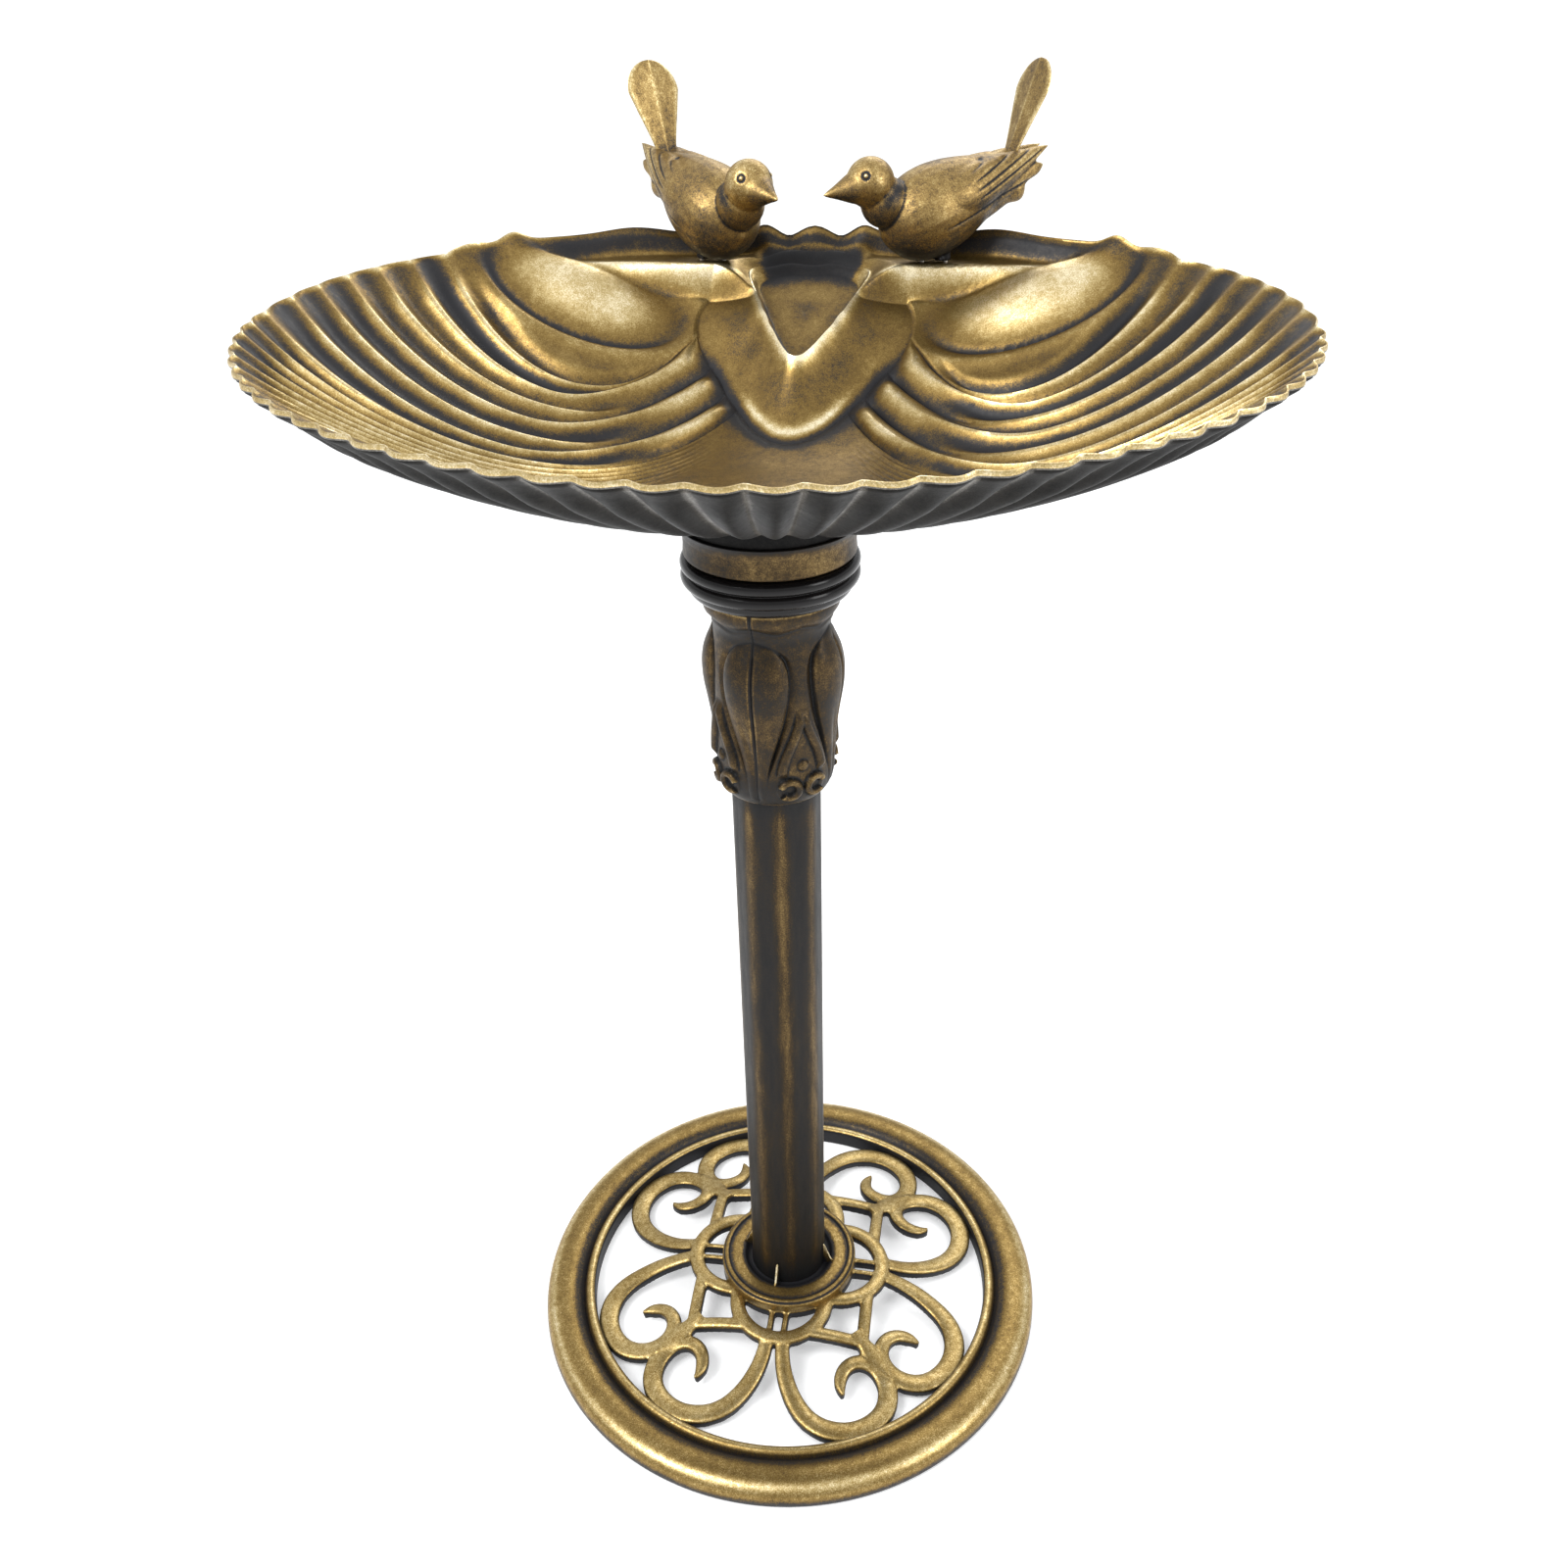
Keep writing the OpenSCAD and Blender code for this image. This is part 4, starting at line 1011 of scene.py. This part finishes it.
# A bird faces -X, with the middle of its legs at the origin; the sizes are the CAD bird's
BODY = [(0, 0.3), (2, 6), (6, 13), (13, 19.5), (22, 23), (33, 24), (46, 22.2), (60, 17.8), (74, 12), (88, 6.5),
        (100, 0.3)]
WING = [(0, 0.3), (4, 6.5), (12, 11.5), (24, 14), (38, 13.2), (54, 10), (72, 5.5), (90, 0.3)]
PLUME = [(0, 0.3), (10, 5), (30, 7), (50, 6), (64, 4.2), (74, 2.4), (77, 0.3)]
WING_ROOT, WING_TILT, WING_SWING = np.array([-17, 11.5, 25]), 20, 5
HEAD_C = np.array([-40.0, 0, 43.5])
HEAD_R = 13.2
BEAK_ROOT, BEAK_WAY = np.array([-46.0, 0, 42.0]), np.array([-0.990, 0, -0.139])
BEAK = [(0, 10.2), (5, 8.6), (10, 6.1), (15, 3.6), (20, 1.4), (22, 0.4)]
TAIL_ROOT = np.array([43.0, 0, 46])
TAIL_TILT = math.radians(20)
TAIL_L, TAIL_R = 56, 16.5


def direction(tilt, swing):
    """Unit vector tilted up from the bird's back and swung to its side."""
    tilt, swing = math.radians(tilt), math.radians(swing)
    return np.array([math.cos(tilt) * math.cos(swing), math.cos(tilt) * math.sin(swing), math.sin(tilt)])


def spindle(start, tilt, swing, shape, flat=1.0, steps=40):
    """A straight body whose radius follows a table; flat is its width's share of its height."""
    s = np.linspace(0, shape[-1][0], steps)
    r = np.maximum(smooth(shape, s), 0.25)
    return sweep(np.array(start) + s[:, None] * direction(tilt, swing), r * flat, r)


def ball(centre, r, steps=24):
    a = np.linspace(0.02, math.pi - 0.02, steps)
    path = np.array(centre) + np.outer(np.cos(a), [-r, 0, 0])
    return sweep(path, np.sin(a) * r, np.sin(a) * r)


def bird_shells():
    shells = [spindle([-33, 0, 15], 21, 0, BODY), ball([-31, 0, 33], 13.5), ball(HEAD_C, HEAD_R)]
    s = np.linspace(0, BEAK[-1][0], 20)
    shells.append(sweep(BEAK_ROOT + s[:, None] * BEAK_WAY, smooth(BEAK, s), smooth(BEAK, s) * 0.92))
    for side in SIDES:
        shells.append(spindle(WING_ROOT * [1, side, 1], WING_TILT, -side * WING_SWING, WING))
        shells.append(spindle([-8, side * 13.5, 19], 21, -side * 6, PLUME, 0.6))
        shells.append(spindle([-8, side * 11.5, 13], 23, -side * 6, PLUME[:-2] + [(66, 0.3)], 0.6))
    return shells


def leg_shells(turn):
    """Legs and toes, which stand side by side on the ledge whichever way the bird is turned."""
    shells = []
    for side in SIDES:
        at = side * leg_gap / 2 * np.array([math.cos(turn), -math.sin(turn), 0])
        z = np.linspace(0.15, 13, 9)
        leg = at + np.outer(z, [0.02, 0, 1])
        shells.append(sweep(leg, 2.9 - 0.05 * z, 2.9 - 0.05 * z))
        for spread in (-28, 0, 28):
            a = math.radians(spread)
            reach = np.linspace(0, 6.6, 8)
            toe = at + np.column_stack([-np.cos(a) * reach, np.sin(a) * reach, 1.6 - 0.06 * reach])
            shells.append(sweep(toe, 1.5 - 0.1 * reach, 1.35 - 0.06 * reach))
    return shells


def put_on_ledge(obj, x, turn):
    """Moves a piece from the bird's own place to the ledge; a bird that faces right is a mirror image."""
    p = coords(obj)
    p = np.column_stack([turned(p[:, :2], turn), p[:, 2]])
    if x < 0:
        p[:, 0] *= -1
    set_coords(obj, p + [x, leg_y, leg_seat_z])
    if x < 0:
        obj.data.flip_normals()


def feathers(p):
    """Depth of the engraved plumage at each point: long quills and the line along a wing's top."""
    depth = np.zeros(len(p))
    for side in SIDES:
        way = direction(WING_TILT, -side * WING_SWING)
        rel = p - WING_ROOT * [1, side, 1]
        s = rel @ way
        h = rel @ np.cross(way, [0, -1, 0])
        outer = ramp(2, 7, side * p[:, 1])
        quills = sum(bump(h + 0.06 * (s - 40), line, 0.75) for line in (-11, -6.5, -2, 2.5))
        depth += 0.9 * quills * ramp(26, 44, s) * ramp(92, 80, s) * outer
        edge = bump(h - 9 - 0.02 * s, 0, 0.9) * ramp(4, 16, s) * ramp(80, 66, s)
        depth += 0.7 * edge * ramp(0, 4, side * p[:, 1])
    return depth


def bird(name, x, turn):
    obj = new_object(name + "_cast", bird_shells() + leg_shells(turn))
    fuse(obj, 0.75, 7)
    p, n = coords(obj), normals(obj)
    eyes = [HEAD_C + HEAD_R * np.array([-0.55, side * 0.74, 0.38]) for side in SIDES]
    from_eyes = [np.linalg.norm(p - eye, axis=1) for eye in eyes]
    sockets = sum(0.5 * bump(away, 2.0, 0.6) - 0.55 * bump(away, 0, 1.0) for away in from_eyes)
    set_coords(obj, p - n * (feathers(p) + sockets)[:, None])
    low = relief(obj, 40)
    fine = relief(obj, 6)
    under = ramp(8, 1, p[:, 2]) + ramp(14, 4, p[:, 2]) * 0.5
    patina_and_light = 0.02 + 1.4 * ramp(0.15, 1.3, low) + 0.8 * ramp(0.03, 0.22, fine) - 0.6 * ramp(0.05, 0.3, -fine)
    # Painted shade: darker towards the bird's underside and on faces turned down.
    patina_and_light += 0.7 * under + 0.35 * ramp(0.1, -0.8, n[:, 2])
    behind_head = np.linalg.norm(p - HEAD_C, axis=1) - HEAD_R
    patina_and_light += 0.65 * bump(behind_head, 2.5, 2.6) * ramp(-42, -33, p[:, 0]) - 0.25 * bump(behind_head, 0, 1.2)
    patina_and_light += sum(0.9 * bump(away, 1.8, 0.9) for away in from_eyes)
    set_patina(obj, patina_and_light)
    put_on_ledge(obj, x, turn)
    finish_piece(obj, "basin", "bronze", [lit_bronze_bird], name, sharp=80)


def tail(name, x, turn):
    """A paddle with a ridge down its middle, on a narrow tang."""
    straight = TAIL_L - TAIL_R
    tip = straight + TAIL_R * np.sin(np.linspace(0, math.pi / 2, 28)[1:])
    s = np.concatenate([np.linspace(0, straight, 40), tip])
    half = smooth([(0, 6.9), (9, 7.1), (18, 9.6), (28, 12.9), (36, 15.4), (straight, TAIL_R)],
                  np.minimum(s, straight))
    half = np.maximum(half * domed(np.maximum(s - straight, 0), TAIL_R), 0.3)
    thick = np.minimum(1.7, 0.5 + 0.35 * half)
    face = [(1, 0.0), (0.95, 0.30), (0.5, 0.55), (0.14, 0.86), (0, 1.0)]
    face += [(-across, out) for across, out in face[-2::-1]]
    section = np.array(face + [(across, -out) for across, out in face[-2:0:-1]])
    deep, wide = thick[:, None] * section[:, 1], half[:, None] * section[:, 0]
    along = np.broadcast_to(s[:, None], deep.shape)
    c, si = math.cos(TAIL_TILT), math.sin(TAIL_TILT)
    blade = np.stack([along * si - deep * c, wide, along * c + deep * si], -1) + TAIL_ROOT
    obj = new_object(name + "_blade", [(blade, grid_faces(*deep.shape) + end_faces(*deep.shape))])
    rounder = obj.modifiers.new("round", "SUBSURF")
    rounder.levels = 1
    bake_modifiers(obj)
    set_patina(obj, 0.02 + 0.45 * ramp(62, 50, coords(obj)[:, 2]) - 0.5 * ramp(0.02, 0.12, -relief(obj, 6)))
    put_on_ledge(obj, x, turn)
    finish_piece(obj, "basin", "bronze", [lit_bronze_bird], name, sharp=60)


left_turn, right_turn = math.radians(47), math.radians(31)
bird("bird_left", left_bird_x, left_turn)
bird("bird_right", right_bird_x, right_turn)
tail("tail_left", left_bird_x, left_turn)
tail("tail_right", right_bird_x, right_turn)


# ---- hidden pieces, which keep their CAD shape

HIDDEN = {"flange_screws": steel, "foot_bolt": steel, "foot_washer": steel, "capital_dowels": steel,
          "neck_screw": steel, "leg_screws": steel, "neck_washer": nylon, "leg_washers": rubber,
          "pole_plug": black_plastic, "spigot": black_plastic}
for node_name, material in HIDDEN.items():
    for material_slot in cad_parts[node_name].material_slots:
        material_slot.material = material


# ---- floor, light and camera

def floor():
    """A plain pale floor just under the foot, faintly lit by itself so that it comes out white."""
    mesh = bpy.data.meshes.new("floor")
    far, z = 60.0, -0.0004
    mesh.from_pydata([(-far, -far, z), (far, -far, z), (far, far, z), (-far, far, z)], [], [(0, 1, 2, 3)])
    obj = linked("floor", mesh)
    n = Nodes("floor")
    place = n.add("ShaderNodeTexCoord").outputs["Object"]
    n.to(Base_Color=n.ramp(n.noise(place, 3.0), [(0.3, (0.86, 0.86, 0.86)), (0.7, (0.9, 0.9, 0.9))]),
         Roughness=0.7, Emission_Color=(1, 1, 1, 1), Emission_Strength=0.25)
    mesh.materials.append(n.material)


def softbox(name, place, target, size, power):
    light = bpy.data.lights.new(name, "AREA")
    light.shape = "RECTANGLE"
    light.size, light.size_y = size
    light.energy = power
    obj = linked(name, light)
    obj.location = place
    obj.rotation_euler = (Vector(target) - Vector(place)).to_track_quat("-Z", "Y").to_euler()


def sky():
    """A bright ceiling over pale grey walls."""
    world = bpy.data.worlds.new("studio")
    bpy.context.scene.world = world
    world.use_nodes = True
    tree = world.node_tree
    place = tree.nodes.new("ShaderNodeTexCoord")
    parts = tree.nodes.new("ShaderNodeSeparateXYZ")
    tree.links.new(place.outputs["Generated"], parts.inputs[0])
    tone = tree.nodes.new("ShaderNodeValToRGB")
    tree.links.new(parts.outputs["Z"], tone.inputs["Fac"])
    for element, (at, level) in zip(tone.color_ramp.elements, [(0.0, 0.62), (0.8, 1.0)]):
        element.position = at
        element.color = (level * 0.97, level * 0.985, level, 1)
    background = tree.nodes["Background"]
    tree.links.new(tone.outputs["Color"], background.inputs["Color"])
    background.inputs["Strength"].default_value = 1.15


def camera():
    """The viewpoint, in the foot's own measure: it was found from the round foot and the upright pole."""
    unit = foot_r * MM
    back, high = 3.988 * unit, 4.822 * unit
    around, pan, pitch, roll = (math.radians(a) for a in (9.5, 0.364, 31.07, -1.35))
    ahead = Vector((math.sin(pan) * math.cos(pitch), math.cos(pan) * math.cos(pitch), -math.sin(pitch)))
    level = Vector((math.cos(pan), -math.sin(pan), 0))
    upright = level.cross(ahead)
    right = level * math.cos(roll) + upright * math.sin(roll)
    up = upright * math.cos(roll) - level * math.sin(roll)
    turn = Matrix.Rotation(around, 3, "Z")
    axes = Matrix((turn @ right, turn @ up, turn @ -ahead)).transposed()
    data = bpy.data.cameras.new("camera")
    data.lens = 32.45
    data.sensor_width = 36
    data.clip_start = 0.01
    obj = linked("camera", data)
    obj.matrix_world = Matrix.Translation(turn @ Vector((0, -back, high))) @ axes.to_4x4()
    bpy.context.scene.camera = obj


floor()
middle = (0, 0, 0.5)
softbox("key", (-0.9, -0.9, 1.75), middle, (0.8, 0.8), 26)
softbox("side", (1.5, -0.5, 1.2), middle, (0.6, 1.1), 12)
softbox("back", (0.3, 1.3, 1.6), middle, (1.2, 0.5), 7)
sky()
camera()
bpy.context.scene.view_settings.view_transform = "Standard"
